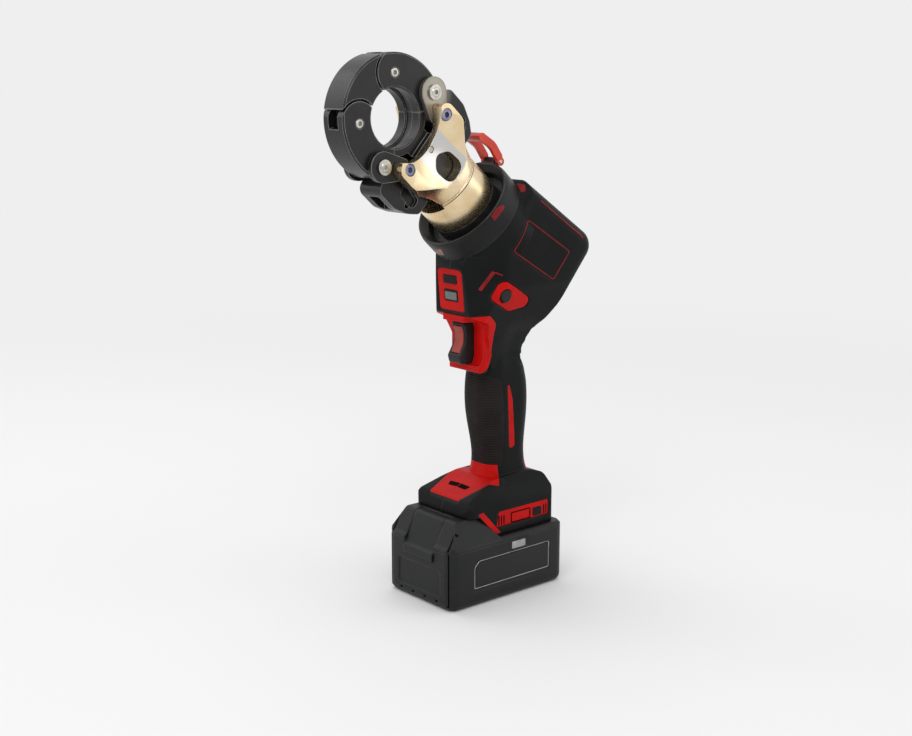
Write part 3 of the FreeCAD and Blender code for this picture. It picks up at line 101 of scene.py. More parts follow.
def addNode(tree, kind, settings, links=None):
    node = tree.nodes.new(kind)
    for key, value in settings.items():
        if isinstance(key, int) or key in node.inputs:
            node.inputs[key].default_value = value
        else:
            setattr(node, key, value)
    for key, source in (links or {}).items():
        tree.links.new(source, node.inputs[key])
    return node


def makeFinish(name, look):
    # one surface: colour drifting between two shades, fine grain, softened edges, and edges painted paler,
    # partly rubbed wear and partly a painted highlight; sizes are in millimetres
    finish = bpy.data.materials.new(name)
    finish.use_nodes = True
    tree = finish.node_tree
    shader = tree.nodes["Principled BSDF"]
    shader.inputs["Metallic"].default_value = look.get("metallic", 0.0)
    shader.inputs["Specular IOR Level"].default_value = look.get("specular", 0.5)
    shader.inputs["Coat Weight"].default_value = look.get("coat", 0.0)
    shader.inputs["Coat Roughness"].default_value = look.get("coatRoughness", 0.1)
    place = addNode(tree, "ShaderNodeTexCoord", {}).outputs["Object"]
    if look.get("along"):  # grain that follows the barrel, measured from the ring's centre
        lean = math.radians(barrel["tilt"])
        centre = Matrix.Rotation(lean, 3, "Y") @ mm(barrel["ringX"], 0, barrel["ringZ"])
        place = addNode(tree, "ShaderNodeMapping", {
            "name": "barrelPlace", "Location": -centre, "Rotation": (0.0, lean, 0.0)},
            {"Vector": place}).outputs[0]
    drift = addNode(tree, "ShaderNodeTexNoise", {
        "Scale": 1 / mm(look["driftSize"]), "Detail": 3.0, "Roughness": 0.6},
        {"Vector": place}).outputs["Fac"]
    driftShare = addNode(tree, "ShaderNodeMapRange", {
        "From Min": 0.35, "From Max": 0.65}, {"Value": drift}).outputs[0]
    colour = addNode(tree, "ShaderNodeMix", {
        "data_type": "RGBA", 6: linear(look["colour"]), 7: linear(look["drift"])},
        {0: driftShare}).outputs[2]
    grainPlace = addNode(tree, "ShaderNodeMapping", {
        "Scale": look.get("stretch", (1.0, 1.0, 1.0))}, {"Vector": place}).outputs[0]
    grain = addNode(tree, "ShaderNodeTexNoise", {
        "Scale": 1 / mm(look["grainSize"]), "Detail": 2.0, "Roughness": 0.55},
        {"Vector": grainPlace}).outputs["Fac"]
    rough = addNode(tree, "ShaderNodeMapRange", {
        "From Min": 0.3, "From Max": 0.7,
        "To Min": look["rough"][0], "To Max": look["rough"][1]}, {"Value": grain}).outputs[0]
    soft = addNode(tree, "ShaderNodeBevel", {
        "samples": 6, "Radius": mm(look.get("edge", 0.5))}).outputs[0]
    if "rubbedHighlight" in look:  # edges painted paler, in patches: rubbed wear and a painted highlight
        straight = addNode(tree, "ShaderNodeNewGeometry", {}).outputs["Normal"]
        turn = addNode(tree, "ShaderNodeVectorMath", {"operation": "DOT_PRODUCT"},
                       {0: soft, 1: straight}).outputs["Value"]
        edge = addNode(tree, "ShaderNodeMapRange", {
            "From Min": 0.99, "From Max": 0.88, "To Max": look.get("rubbedHighlightShare", 0.6)},
            {"Value": turn}).outputs[0]
        patchy = addNode(tree, "ShaderNodeMath", {"operation": "MULTIPLY"},
                         {0: edge, 1: driftShare}).outputs[0]
        worn = addNode(tree, "ShaderNodeMath", {"operation": "MULTIPLY_ADD", 1: 0.6},
                       {0: edge, 2: patchy}).outputs[0]
        colour = addNode(tree, "ShaderNodeMix", {
            "data_type": "RGBA", 7: linear(look["rubbedHighlight"])}, {0: worn, 6: colour}).outputs[2]
    tree.links.new(colour, shader.inputs["Base Color"])
    tree.links.new(rough, shader.inputs["Roughness"])
    bump = addNode(tree, "ShaderNodeBump", {
        "Strength": look.get("bump", 0.3), "Distance": mm(look.get("depth", 0.05))},
        {"Height": grain, "Normal": soft})
    tree.links.new(bump.outputs[0], shader.inputs["Normal"])
    return finish


def dress(finish, *names):
    # a CAD node keeps its shape and gets the finish
    for name in names:
        node = nodes[name]
        node.data.materials.clear()
        node.data.materials.append(finish)


# Black oxide on tool steel: dense black with a satin sheen; its edges are painted paler, partly rubbed
# steel and partly a painted highlight.
blackOxide = makeFinish("blackOxideSteel", {
    "colour": "#151516", "drift": "#1D1D1E", "driftSize": 14, "grainSize": 0.7, "specular": 0.33,
    "rough": (0.24, 0.38), "depth": 0.03, "edge": 0.9, "rubbedHighlight": "#A3A19C", "rubbedHighlightShare": 0.9})
# The ring's bore and knuckles: the same coating, ground first, so it is smoother.
groundOxide = makeFinish("groundOxideSteel", {
    "colour": "#232324", "drift": "#2E2E2F", "driftSize": 9, "grainSize": 0.5,
    "stretch": (1.0, 6.0, 1.0), "rough": (0.24, 0.36), "depth": 0.02, "edge": 0.5,
    "rubbedHighlight": "#B9B7B2", "rubbedHighlightShare": 0.6})
# Bright ground steel pins: fine grinding marks, quick highlights.
groundSteel = makeFinish("groundSteelPin", {
    "colour": "#C9C6BF", "drift": "#A9A69F", "driftSize": 5, "grainSize": 0.4,
    "metallic": 1.0, "rough": (0.18, 0.3), "depth": 0.02, "edge": 0.4})
# Pins with a blue temper film: the same grinding under a violet grey tint.
bluedSteel = makeFinish("bluedSteelPin", {
    "colour": "#8D8FA3", "drift": "#6A6C80", "driftSize": 4, "grainSize": 0.4,
    "metallic": 1.0, "rough": (0.22, 0.34), "depth": 0.02, "edge": 0.4})
# Red enamel on bent spring wire: smooth, with a clear glossy skin.
redEnamel = makeFinish("redEnamelWire", {
    "colour": "#D8402A", "drift": "#C83420", "driftSize": 12, "grainSize": 1.5,
    "rough": (0.28, 0.36), "coat": 0.25, "specular": 0.3, "bump": 0.1, "edge": 0.5})
# Glass-filled nylon, spark-eroded mould: a close matt grain, drawn 1.1 mm so that it shows.
mouldedNylon = makeFinish("mouldedNylonBlack", {
    "colour": "#0E0F0F", "drift": "#131414", "driftSize": 30, "grainSize": 1.1,
    "rough": (0.42, 0.58), "specular": 0.11, "depth": 0.06, "edge": 3.0,
    "rubbedHighlight": "#2C2D2D", "rubbedHighlightShare": 0.5})
# The collar is of the same nylon, finer moulded, with a painted highlight along its rims.
collarNylon = makeFinish("collarNylonBlack", {
    "colour": "#0F1010", "drift": "#141515", "driftSize": 22, "grainSize": 1.1,
    "rough": (0.36, 0.5), "specular": 0.22, "depth": 0.05, "edge": 0.7,
    "rubbedHighlight": "#6E6F6F", "rubbedHighlightShare": 0.6})
# Glossier moulded panel: polished mould, so broad clear highlights.
polishedAbs = makeFinish("polishedAbsPanel", {
    "colour": "#0F0F10", "drift": "#131414", "driftSize": 30, "grainSize": 2.0,
    "rough": (0.26, 0.34), "specular": 0.1, "bump": 0.08, "edge": 0.5})
# Red ABS trims, moulded through: semi-gloss and slightly uneven in tone.
redAbs = makeFinish("redAbsTrim", {
    "colour": "#C40E0A", "drift": "#B20A08", "driftSize": 20, "grainSize": 1.2, "specular": 0.1,
    "rough": (0.36, 0.48), "depth": 0.03, "edge": 0.7, "rubbedHighlight": "#D23A30", "rubbedHighlightShare": 0.6})
# The trigger's soft insert: the same red over a rubbery skin, dusty and duller.
dullRedRubber = makeFinish("dullRedRubberInsert", {
    "colour": "#A2443C", "drift": "#933A34", "driftSize": 8, "grainSize": 0.8,
    "rough": (0.55, 0.7), "specular": 0.35, "depth": 0.05, "edge": 0.8,
    "rubbedHighlight": "#C0655B", "rubbedHighlightShare": 0.6})
# The trigger and the switches: plain nylon worn smooth by fingers.
triggerNylon = makeFinish("triggerNylonBlack", {
    "colour": "#151615", "drift": "#1A1B1A", "driftSize": 10, "grainSize": 0.9,
    "rough": (0.38, 0.5), "specular": 0.25, "depth": 0.04, "edge": 0.8,
    "rubbedHighlight": "#3A3B3A", "rubbedHighlightShare": 0.5})
# Battery shell: ABS blend, a shade greyer than the nylon and evenly matt.
batteryAbs = makeFinish("batteryAbsBlack", {
    "colour": "#121313", "drift": "#171818", "driftSize": 34, "grainSize": 1.0,
    "rough": (0.4, 0.54), "specular": 0.28, "depth": 0.05, "edge": 2.6,
    "rubbedHighlight": "#343535", "rubbedHighlightShare": 0.5})
# Frosted plastic over the charge gauge.
gaugeGrey = makeFinish("frostedGaugeLens", {
    "colour": "#A6A6A4", "drift": "#8F908E", "driftSize": 5, "grainSize": 0.6,
    "rough": (0.35, 0.5), "depth": 0.03, "edge": 0.3})
# Smoked window plastic, clear and nearly black.
smokedWindow = makeFinish("smokedWindowPlastic", {
    "colour": "#0B0C0C", "drift": "#101111", "driftSize": 8, "grainSize": 2.0, "specular": 0.14,
    "rough": (0.12, 0.2), "bump": 0.05, "edge": 0.2})
# Inside the tool. The pump block is sand cast: grey, grainy and dull.
castAluminium = makeFinish("castAluminium", {
    "colour": "#A9AAAB", "drift": "#8F9091", "driftSize": 7, "grainSize": 0.9,
    "metallic": 1.0, "rough": (0.42, 0.6), "depth": 0.08, "edge": 0.5})
# Motor can: zinc plated drawn steel.
platedCan = makeFinish("zincPlatedCan", {
    "colour": "#B5B6B8", "drift": "#9C9DA0", "driftSize": 9, "grainSize": 1.2,
    "metallic": 1.0, "rough": (0.3, 0.42), "depth": 0.02, "edge": 0.4})
# Springs: drawn wire with a film of oil.
springSteel = makeFinish("oiledSpringSteel", {
    "colour": "#77787A", "drift": "#5F6062", "driftSize": 4, "grainSize": 0.5,
    "metallic": 1.0, "rough": (0.25, 0.38), "depth": 0.02, "edge": 0.3})
# Piston seal: matt black rubber.
nitrile = makeFinish("nitrileSeal", {
    "colour": "#161616", "drift": "#1C1C1C", "driftSize": 4, "grainSize": 0.6,
    "rough": (0.5, 0.65), "depth": 0.03, "edge": 0.4})
# Circuit boards: glossy green lacquer over copper.
solderMask = makeFinish("greenSolderMask", {
    "colour": "#1F5A34", "drift": "#2A6B40", "driftSize": 3, "grainSize": 1.0,
    "rough": (0.3, 0.4), "coat": 0.3, "depth": 0.03, "edge": 0.2})
# Cells: shrunk plastic sleeve.
cellSleeve = makeFinish("shrinkSleeveCell", {
    "colour": "#3D7A62", "drift": "#34705A", "driftSize": 9, "grainSize": 1.4,
    "rough": (0.3, 0.42), "depth": 0.02, "edge": 0.5})

# Champagne zinc plate over a turned steel yoke; its scooped cheeks are polished white.
champagnePlate = makeFinish("champagneZincPlate", {
    "colour": "#F0DDBB", "drift": "#E0C596", "driftSize": 26, "grainSize": 0.5, "along": True,
    "stretch": (3.0, 0.35, 0.35), "metallic": 1.0, "rough": (0.2, 0.32), "depth": 0.02,
    "edge": 0.7, "rubbedHighlight": "#F2EAD8", "rubbedHighlightShare": 0.5})
yokeLook = {  # millimetres along, beside and above the barrel's axis, from the ring's centre
    "scoop": (-35.5, 91.1, 3.0), "scoopRound": 70.1, "skin": 0.18,
    "bandUp": 1.0, "bandHalf": 12.5, "bandFade": 1.5, "polished": "#CBCAC7", "polishedRough": 0.2,
    "seamAt": -71.5, "seamWide": 0.5, "seamCore": 0.2, "seam": "#4A4032"}


def polishScoop():
    # the cheeks' hollows lie on two balls; what is on a ball's skin is polished
    tree = champagnePlate.node_tree
    shader = tree.nodes["Principled BSDF"]
    parts = addNode(tree, "ShaderNodeSeparateXYZ", {}, {0: tree.nodes["barrelPlace"].outputs[0]})
    side = addNode(tree, "ShaderNodeMath", {"operation": "ABSOLUTE"}, {0: parts.outputs["Y"]}).outputs[0]
    folded = addNode(tree, "ShaderNodeCombineXYZ", {}, {
        "X": parts.outputs["X"], "Y": side, "Z": parts.outputs["Z"]}).outputs[0]
    reach = addNode(tree, "ShaderNodeVectorMath", {
        "operation": "DISTANCE", 1: mm(*yokeLook["scoop"])}, {0: folded}).outputs["Value"]
    off = addNode(tree, "ShaderNodeMath", {"operation": "SUBTRACT", 1: mm(yokeLook["scoopRound"])},
                  {0: reach}).outputs[0]
    off = addNode(tree, "ShaderNodeMath", {"operation": "ABSOLUTE"}, {0: off}).outputs[0]
    share = addNode(tree, "ShaderNodeMapRange", {
        "From Min": mm(yokeLook["skin"] * 2), "From Max": mm(yokeLook["skin"])},
        {"Value": off}).outputs[0]
    up = addNode(tree, "ShaderNodeMath", {"operation": "SUBTRACT", 1: mm(yokeLook["bandUp"])},
                 {0: parts.outputs["Z"]}).outputs[0]
    up = addNode(tree, "ShaderNodeMath", {"operation": "ABSOLUTE"}, {0: up}).outputs[0]
    band = addNode(tree, "ShaderNodeMapRange", {
        "From Min": mm(yokeLook["bandHalf"] + yokeLook["bandFade"]), "From Max": mm(yokeLook["bandHalf"])},
        {"Value": up}).outputs[0]
    share = addNode(tree, "ShaderNodeMath", {"operation": "MULTIPLY"}, {0: share, 1: band}).outputs[0]
    base = shader.inputs["Base Color"].links[0].from_socket
    white = addNode(tree, "ShaderNodeMix", {"data_type": "RGBA", 7: linear(yokeLook["polished"])},
                    {0: share, 6: base}).outputs[2]
    fromSeam = addNode(tree, "ShaderNodeMath", {"operation": "SUBTRACT", 1: mm(yokeLook["seamAt"])},
                       {0: parts.outputs["X"]}).outputs[0]
    seam = addNode(tree, "ShaderNodeMath", {"operation": "ABSOLUTE"}, {0: fromSeam}).outputs[0]
    seam = addNode(tree, "ShaderNodeMapRange", {
        "From Min": mm(yokeLook["seamWide"]), "From Max": mm(yokeLook["seamCore"])},
        {"Value": seam}).outputs[0]
    joined = addNode(tree, "ShaderNodeMix", {"data_type": "RGBA", 7: linear(yokeLook["seam"])},
                     {0: seam, 6: white}).outputs[2]
    tree.links.new(joined, shader.inputs["Base Color"])
    rough = shader.inputs["Roughness"].links[0].from_socket
    mirror = addNode(tree, "ShaderNodeMix", {"data_type": "FLOAT", 3: yokeLook["polishedRough"]},
                     {0: share, 2: rough}).outputs[0]
    tree.links.new(mirror, shader.inputs["Roughness"])


polishScoop()

# Black oxide on the arms, worn away to bare steel round the upper jaw's pin.
armSteel = makeFinish("rubbedArmSteel", {
    "colour": "#151516", "drift": "#1D1D1E", "driftSize": 12, "grainSize": 0.7, "along": True,
    "specular": 0.33, "rough": (0.26, 0.38), "depth": 0.03, "edge": 0.9,
    "rubbedHighlight": "#A3A19C", "rubbedHighlightShare": 0.9})
# the pin's place from the ring's centre, and how far round it the steel is bare and black again
armLook = {"pinAlong": -12.0, "pinUp": 34.05, "bright": 9.0, "dark": 21.0, "bare": "#9D978B"}


def brightenArm():
    # bare ground steel round the upper jaw's pin, fading into the black towards the tail
    tree = armSteel.node_tree
    shader = tree.nodes["Principled BSDF"]
    parts = addNode(tree, "ShaderNodeSeparateXYZ", {}, {0: tree.nodes["barrelPlace"].outputs[0]})
    flat = addNode(tree, "ShaderNodeCombineXYZ", {}, {
        "X": parts.outputs["X"], "Z": parts.outputs["Z"]}).outputs[0]
    reach = addNode(tree, "ShaderNodeVectorMath", {
        "operation": "DISTANCE", 1: mm(armLook["pinAlong"], 0, armLook["pinUp"])},
        {0: flat}).outputs["Value"]
    bare = addNode(tree, "ShaderNodeMapRange", {
        "From Min": mm(armLook["dark"]), "From Max": mm(armLook["bright"])}, {"Value": reach}).outputs[0]
    base = shader.inputs["Base Color"].links[0].from_socket
    mixed = addNode(tree, "ShaderNodeMix", {"data_type": "RGBA", 7: linear(armLook["bare"])},
                    {0: bare, 6: base}).outputs[2]
    tree.links.new(mixed, shader.inputs["Base Color"])
    tree.links.new(bare, shader.inputs["Metallic"])


brightenArm()

# Thermoplastic rubber over the grip: matt, with moulded ribs across it.
ribbedRubber = makeFinish("ribbedGripRubber", {
    "colour": "#1F1A19", "drift": "#272120", "driftSize": 16, "grainSize": 0.8,
    "rough": (0.62, 0.78), "specular": 0.12, "depth": 0.06, "edge": 0.8,
    "rubbedHighlight": "#3A3231", "rubbedHighlightShare": 0.5})
# millimetres from rib to rib and how deep between them, drawn a little coarse so that they show
# the grooves' colour is painted shade, darkening the hollows between the ribs by up to share
ribs = {"pitch": 2.1, "depth": 0.35, "waver": 0.4, "strength": 0.9, "groove": "#141212", "share": 0.5}


def ribGrip():
    # moulded ribs across the grip; at a scale of 1 the wave turns 20 radians in a metre
    tree = ribbedRubber.node_tree
    shader = tree.nodes["Principled BSDF"]
    place = next(n for n in tree.nodes if n.type == "TEX_COORD").outputs["Object"]
    wave = addNode(tree, "ShaderNodeTexWave", {
        "bands_direction": "Z", "wave_profile": "SIN", "Scale": math.pi / mm(ribs["pitch"]) / 10,
        "Distortion": ribs["waver"], "Detail": 1.0, "Detail Scale": 1.0}, {"Vector": place})
    grained = shader.inputs["Normal"].links[0].from_socket
    bump = addNode(tree, "ShaderNodeBump", {"Strength": ribs["strength"], "Distance": mm(ribs["depth"])},
                   {"Height": wave.outputs["Fac"], "Normal": grained})
    tree.links.new(bump.outputs[0], shader.inputs["Normal"])
    base = shader.inputs["Base Color"].links[0].from_socket
    # painted shade: the hollows between the ribs are darkened towards the grooves' colour
    dark = addNode(tree, "ShaderNodeMapRange", {
        "From Min": 0.0, "From Max": 0.5, "To Min": ribs["share"], "To Max": 0.0},
        {"Value": wave.outputs["Fac"]}).outputs[0]
    ribbed = addNode(tree, "ShaderNodeMix", {"data_type": "RGBA", 7: linear(ribs["groove"])},
                     {0: dark, 6: base}).outputs[2]
    tree.links.new(ribbed, shader.inputs["Base Color"])


ribGrip()

dress(blackOxide, "jaw_upper", "jaw_lower", "tip_segment", "rear_die")
dress(armSteel, "arm_upper", "arm_lower")
dress(champagnePlate, "yoke")
dress(groundSteel, "hinge_pin_upper", "hinge_pin_lower", "jaw_pin_upper", "jaw_pin_lower", "die_pin",
      "hang_pin", "motor_rotor", "planet_carrier", "planet_gear_1", "planet_gear_2", "planet_gear_3",
      "ring_gear")
dress(groundOxide, "roller_upper", "roller_lower", "roller_pins", "piston")
dress(bluedSteel, "fulcrum_pins", "housing_screws")
dress(groundOxide, "cylinder", "thrust_ring")
dress(nitrile, "piston_seal")
dress(springSteel, "return_spring", "trigger_spring", "battery_latch_spring")
dress(collarNylon, "front_collar")
dress(redEnamel, "hang_bail")
dress(castAluminium, "pump_block")
dress(platedCan, "motor_stator")
dress(mouldedNylon, "housing_left", "housing_right")
dress(polishedAbs, "side_panels")
dress(smokedWindow, "panel_lenses")
dress(redAbs, "lock_bezels", "grip_stripes", "foot_inserts", "foot_strips", "foot_trims", "front_panel",
      "trigger_bezel")
dress(ribbedRubber, "grip_rubber")
dress(triggerNylon, "trigger", "lock_button", "trigger_switch", "terminal_block")
dress(dullRedRubber, "trigger_insert")
dress(solderMask, "display_board", "battery_board")
dress(batteryAbs, "battery_case", "battery_front_cap", "battery_lid", "battery_latch")
dress(cellSleeve, "battery_cells")
dress(gaugeGrey, "battery_gauge")
print("finishes on:", len(bpy.data.materials))


def deselectAll():
    if bpy.context.mode != "OBJECT":
        bpy.ops.object.mode_set(mode="OBJECT")
    bpy.ops.object.select_all(action="DESELECT")


def workOn(piece):
    deselectAll()
    piece.select_set(True)
    bpy.context.view_layer.objects.active = piece


def applyAll(piece):
    workOn(piece)
    for modifier in list(piece.modifiers):
        bpy.ops.object.modifier_apply(modifier=modifier.name)


def finishPiece(piece, finish, body):
    # the place goes into the mesh, faces look outwards, and the piece rides on its body
    workOn(piece)
    bpy.ops.object.transform_apply(location=True, rotation=True, scale=True)
    bpy.ops.object.mode_set(mode="EDIT")
    bpy.ops.mesh.select_all(action="SELECT")
    bpy.ops.mesh.normals_make_consistent(inside=False)
    bpy.ops.object.mode_set(mode="OBJECT")
    piece.data.materials.clear()
    piece.data.materials.append(finish)
    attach(piece, body)


# What an inlay has unless its own look says otherwise, in millimetres.
inlay = {"lift": 6.0, "blank": 10.0, "roundSteps": 4, "cell": 3.0, "proud": 0.1, "sunk": 0.25}


def layInlay(name, look, body):
    # a thin piece let into a surface: drawn flat, cut into cells, pressed on and given its thickness
    corners = [mm(*corner) for corner in look["corners"]]
    facing = Vector(look["facing"]).normalized()
    above = sum(corners, Vector()) / len(corners) + facing * mm(inlay["lift"])
    place = Matrix.Translation(above) @ facing.to_track_quat("Z", "Y").to_matrix().to_4x4()
    deselectAll()
    bpy.ops.mesh.primitive_circle_add(vertices=len(corners), radius=mm(inlay["blank"]), fill_type="NGON")
    piece = bpy.context.object
    piece.name = name
    for vertex, corner in zip(piece.data.vertices, corners):
        vertex.co = (place.inverted() @ corner) * Vector((1, 1, 0))
    bpy.ops.object.mode_set(mode="EDIT")
    bpy.ops.mesh.select_all(action="SELECT")
    if look.get("rounding"):
        bpy.ops.mesh.bevel(offset=mm(look["rounding"]), segments=inlay["roundSteps"], affect="VERTICES")
    if look.get("rim"):
        bpy.ops.mesh.select_all(action="SELECT")
        bpy.ops.mesh.inset(thickness=mm(look["rim"]), use_even_offset=True)
        bpy.ops.mesh.delete(type="FACE")
    cell = mm(look.get("cell", inlay["cell"]))
    bpy.ops.object.mode_set(mode="OBJECT")
    reach = max(max(abs(vertex.co.x), abs(vertex.co.y)) for vertex in piece.data.vertices)
    bpy.ops.object.mode_set(mode="EDIT")
    for direction in ((1, 0, 0), (0, 1, 0)):
        for step in range(-int(reach / cell), int(reach / cell) + 1):
            bpy.ops.mesh.select_all(action="SELECT")
            bpy.ops.mesh.bisect(plane_co=Vector(direction) * step * cell, plane_no=direction)
    bpy.ops.object.mode_set(mode="OBJECT")
    piece.matrix_world = place
    press = piece.modifiers.new("press", "SHRINKWRAP")
    press.target = look["on"]
    press.wrap_method = "PROJECT"
    press.use_project_z = True
    press.use_negative_direction = True
    press.use_positive_direction = False
    proud, sunk = look.get("proud", inlay["proud"]), look.get("sunk", inlay["sunk"])
    wall = piece.modifiers.new("wall", "SOLIDIFY")
    wall.thickness = mm(proud + sunk)
    wall.offset = 2 * proud / (proud + sunk) - 1
    applyAll(piece)
    finishPiece(piece, look["finish"], body)
    return piece


mergeWithin = 0.002  # millimetres between the copies of one corner


def copyNode(node, name):
    # the node's own shape as a new piece, its loose triangles joined up first
    workOn(nodes[node])
    bpy.ops.object.duplicate()
    piece = bpy.context.object
    piece.name = name
    del piece["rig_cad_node"]
    bpy.ops.object.mode_set(mode="EDIT")
    bpy.ops.mesh.select_all(action="SELECT")
    bpy.ops.mesh.remove_doubles(threshold=mm(mergeWithin))
    bpy.ops.mesh.customdata_custom_splitnormals_clear()
    bpy.ops.object.mode_set(mode="OBJECT")
    return piece


def pick(piece, kind, wanted):
    # edit mode, with just the faces or points whose places pass the test
    workOn(piece)
    bpy.ops.object.mode_set(mode="EDIT")
    bpy.ops.mesh.select_mode(type=kind)
    bpy.ops.mesh.select_all(action="DESELECT")
    bpy.ops.object.mode_set(mode="OBJECT")
    if kind == "FACE":
        for face in piece.data.polygons:
            face.select = wanted(face.center * 1000)
    else:
        for vertex in piece.data.vertices:
            vertex.select = wanted(vertex.co * 1000)
    bpy.ops.object.mode_set(mode="EDIT")


def cutAcross(piece, wanted, levels, direction):
    # cuts across the picked faces, one at each level
    for level in levels:
        pick(piece, "FACE", wanted)
        bpy.ops.mesh.bisect(plane_co=Vector(direction) * mm(level), plane_no=direction)
    bpy.ops.object.mode_set(mode="OBJECT")


def mirrorPiece(piece, name, finish, body):
    # the same piece on the other side of the tool
    workOn(piece)
    bpy.ops.object.duplicate()
    other = bpy.context.object
    other.name = name
    other.scale.y = -1
    finishPiece(other, finish, body)


waist = {  # millimetres; angles in degrees
    "cutLevels": range(149, 216, 3), "cutDepths": range(-44, 4, 5),
    "low": 141, "high": 224, "ahead": 10, "rear": -24.0, "band": 3.2, "smoothBelow": 32,
    # the body's sharp lower corner: from and to which height, inward, share of the width left
    "cornerX": -36.3, "cornerY": 13.5,
    "corners": ((175.4, 180.5, 3.2, 0.91), (180.5, 186.5, 2.8, 0.92), (186.5, 192.5, 2.0, 0.94),
                (192.5, 198.5, 1.2, 0.965), (198.5, 204.5, 0.5, 0.985)),
    # height, how far it is drawn in, how far that spreads, share of the width left
    "pulls": ((194.0, 4.6, 20.0, 0.88), (178.0, 0.8, 16.0, 0.97))}


def pinchWaist(node, name):
    # a hand's hollow behind the trigger: the wall is cut into bands and drawn in softly
    shell = copyNode(node, name)
    near = lambda place: waist["low"] < place.z < waist["high"] and place.x < waist["ahead"]
    cutAcross(shell, near, waist["cutLevels"], (0, 0, 1))
    cutAcross(shell, near, waist["cutDepths"], (1, 0, 0))
    for low, high, inward, narrow in waist["corners"]:
        pick(shell, "VERT", lambda place: low < place.z < high and place.x < waist["cornerX"]
             and abs(place.y) > waist["cornerY"])
        bpy.ops.transform.translate(value=mm(inward, 0, 0))
        bpy.ops.transform.resize(value=(1, narrow, 1), center_override=(0, 0, 0))
        bpy.ops.object.mode_set(mode="OBJECT")
    for height, pull, spread, narrow in waist["pulls"]:
        soft = {"use_proportional_edit": True, "proportional_edit_falloff": "SMOOTH",
                "proportional_size": mm(spread)}
        pick(shell, "VERT", lambda place: abs(place.z - height) < waist["band"] and place.x < waist["rear"])
        bpy.ops.transform.translate(value=mm(pull, 0, 0), **soft)
        bpy.ops.transform.resize(value=(1, narrow, 1), center_override=mm(waist["rear"], 0, height), **soft)
        bpy.ops.object.mode_set(mode="OBJECT")
    bpy.ops.object.shade_smooth_by_angle(angle=math.radians(waist["smoothBelow"]))
    finishPiece(shell, mouldedNylon, "housing")
    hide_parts(node)
    return shell


leftShell = pinchWaist("housing_left", "waistedShellLeft")
pinchWaist("housing_right", "waistedShellRight")
print("waist drawn in")

trimMelt = {  # node: new name, finish, slot, cell of the remesh in millimetres, rounds of smoothing
    "front_panel": ("roundedFrontPanel", redAbs, "panel_plastic", 0.5, 5),
    "lock_bezels": ("roundedLockBezels", redAbs, "red_plastic", 0.6, 24),
    "foot_inserts": ("roundedFootInserts", redAbs, "red_plastic", 0.6, 16),
    "trigger": ("softTriggerBlade", triggerNylon, "trigger_plastic", 0.5, 8),
    "trigger_insert": ("softTriggerInsert", dullRedRubber, "insert_plastic", 0.4, 6)}


def meltEdges(node, name, finish, slot, cell, rounds):
    # moulded corners: the shape is rebuilt in small even cells and relaxed
    piece = copyNode(node, name)
    cells = piece.modifiers.new("cells", "REMESH")
    cells.mode = "VOXEL"
    cells.voxel_size = mm(cell)
    relax = piece.modifiers.new("relax", "SMOOTH")
    relax.iterations = rounds
    applyAll(piece)
    bpy.ops.object.shade_smooth()
    finishPiece(piece, finish, piece["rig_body"])
    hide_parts(node)
    return piece


melted = {node: meltEdges(node, *look) for node, look in trimMelt.items()}
print("trims rounded:", len(trimMelt))

# millimetres from the ring's centre and from the middle plane
cradle = {"reach": 30.6, "inner": 12.6, "outer": 30.0, "steps": 96}
sharpFrom = math.radians(30)  # cut pieces keep a crease where faces meet at more than this


def openCradle():
    # each cheek is hollowed a little further round the ring, so that nothing shows through the bore
    fork = copyNode("yoke", "champagneYoke")
    for side in (-1, 1):
        deselectAll()
        bpy.ops.mesh.primitive_cylinder_add(vertices=cradle["steps"], radius=mm(cradle["reach"]),
                                            depth=mm(cradle["outer"] - cradle["inner"]))
        former = bpy.context.object
        aside = side * (cradle["outer"] + cradle["inner"]) / 2
        former.location = mm(barrel["ringX"], aside, barrel["ringZ"])
        former.rotation_euler = (math.radians(90), 0, 0)
        hollow = fork.modifiers.new("hollow", "BOOLEAN")
        hollow.operation = "DIFFERENCE"
        hollow.object = former
        applyAll(fork)
        bpy.data.objects.remove(former)
    bpy.ops.object.shade_smooth_by_angle(angle=sharpFrom)
    finishPiece(fork, champagnePlate, "head")
    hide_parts("yoke")


openCradle()

bezelRound = {  # the red's outline in millimetres
    "x": (2.0, 40.0), "z": (174.0, 220.4), "half": 34.0, "topCorner": 9.0, "lowCorner": 14.0,
    "steps": 10, "near": 0.1}


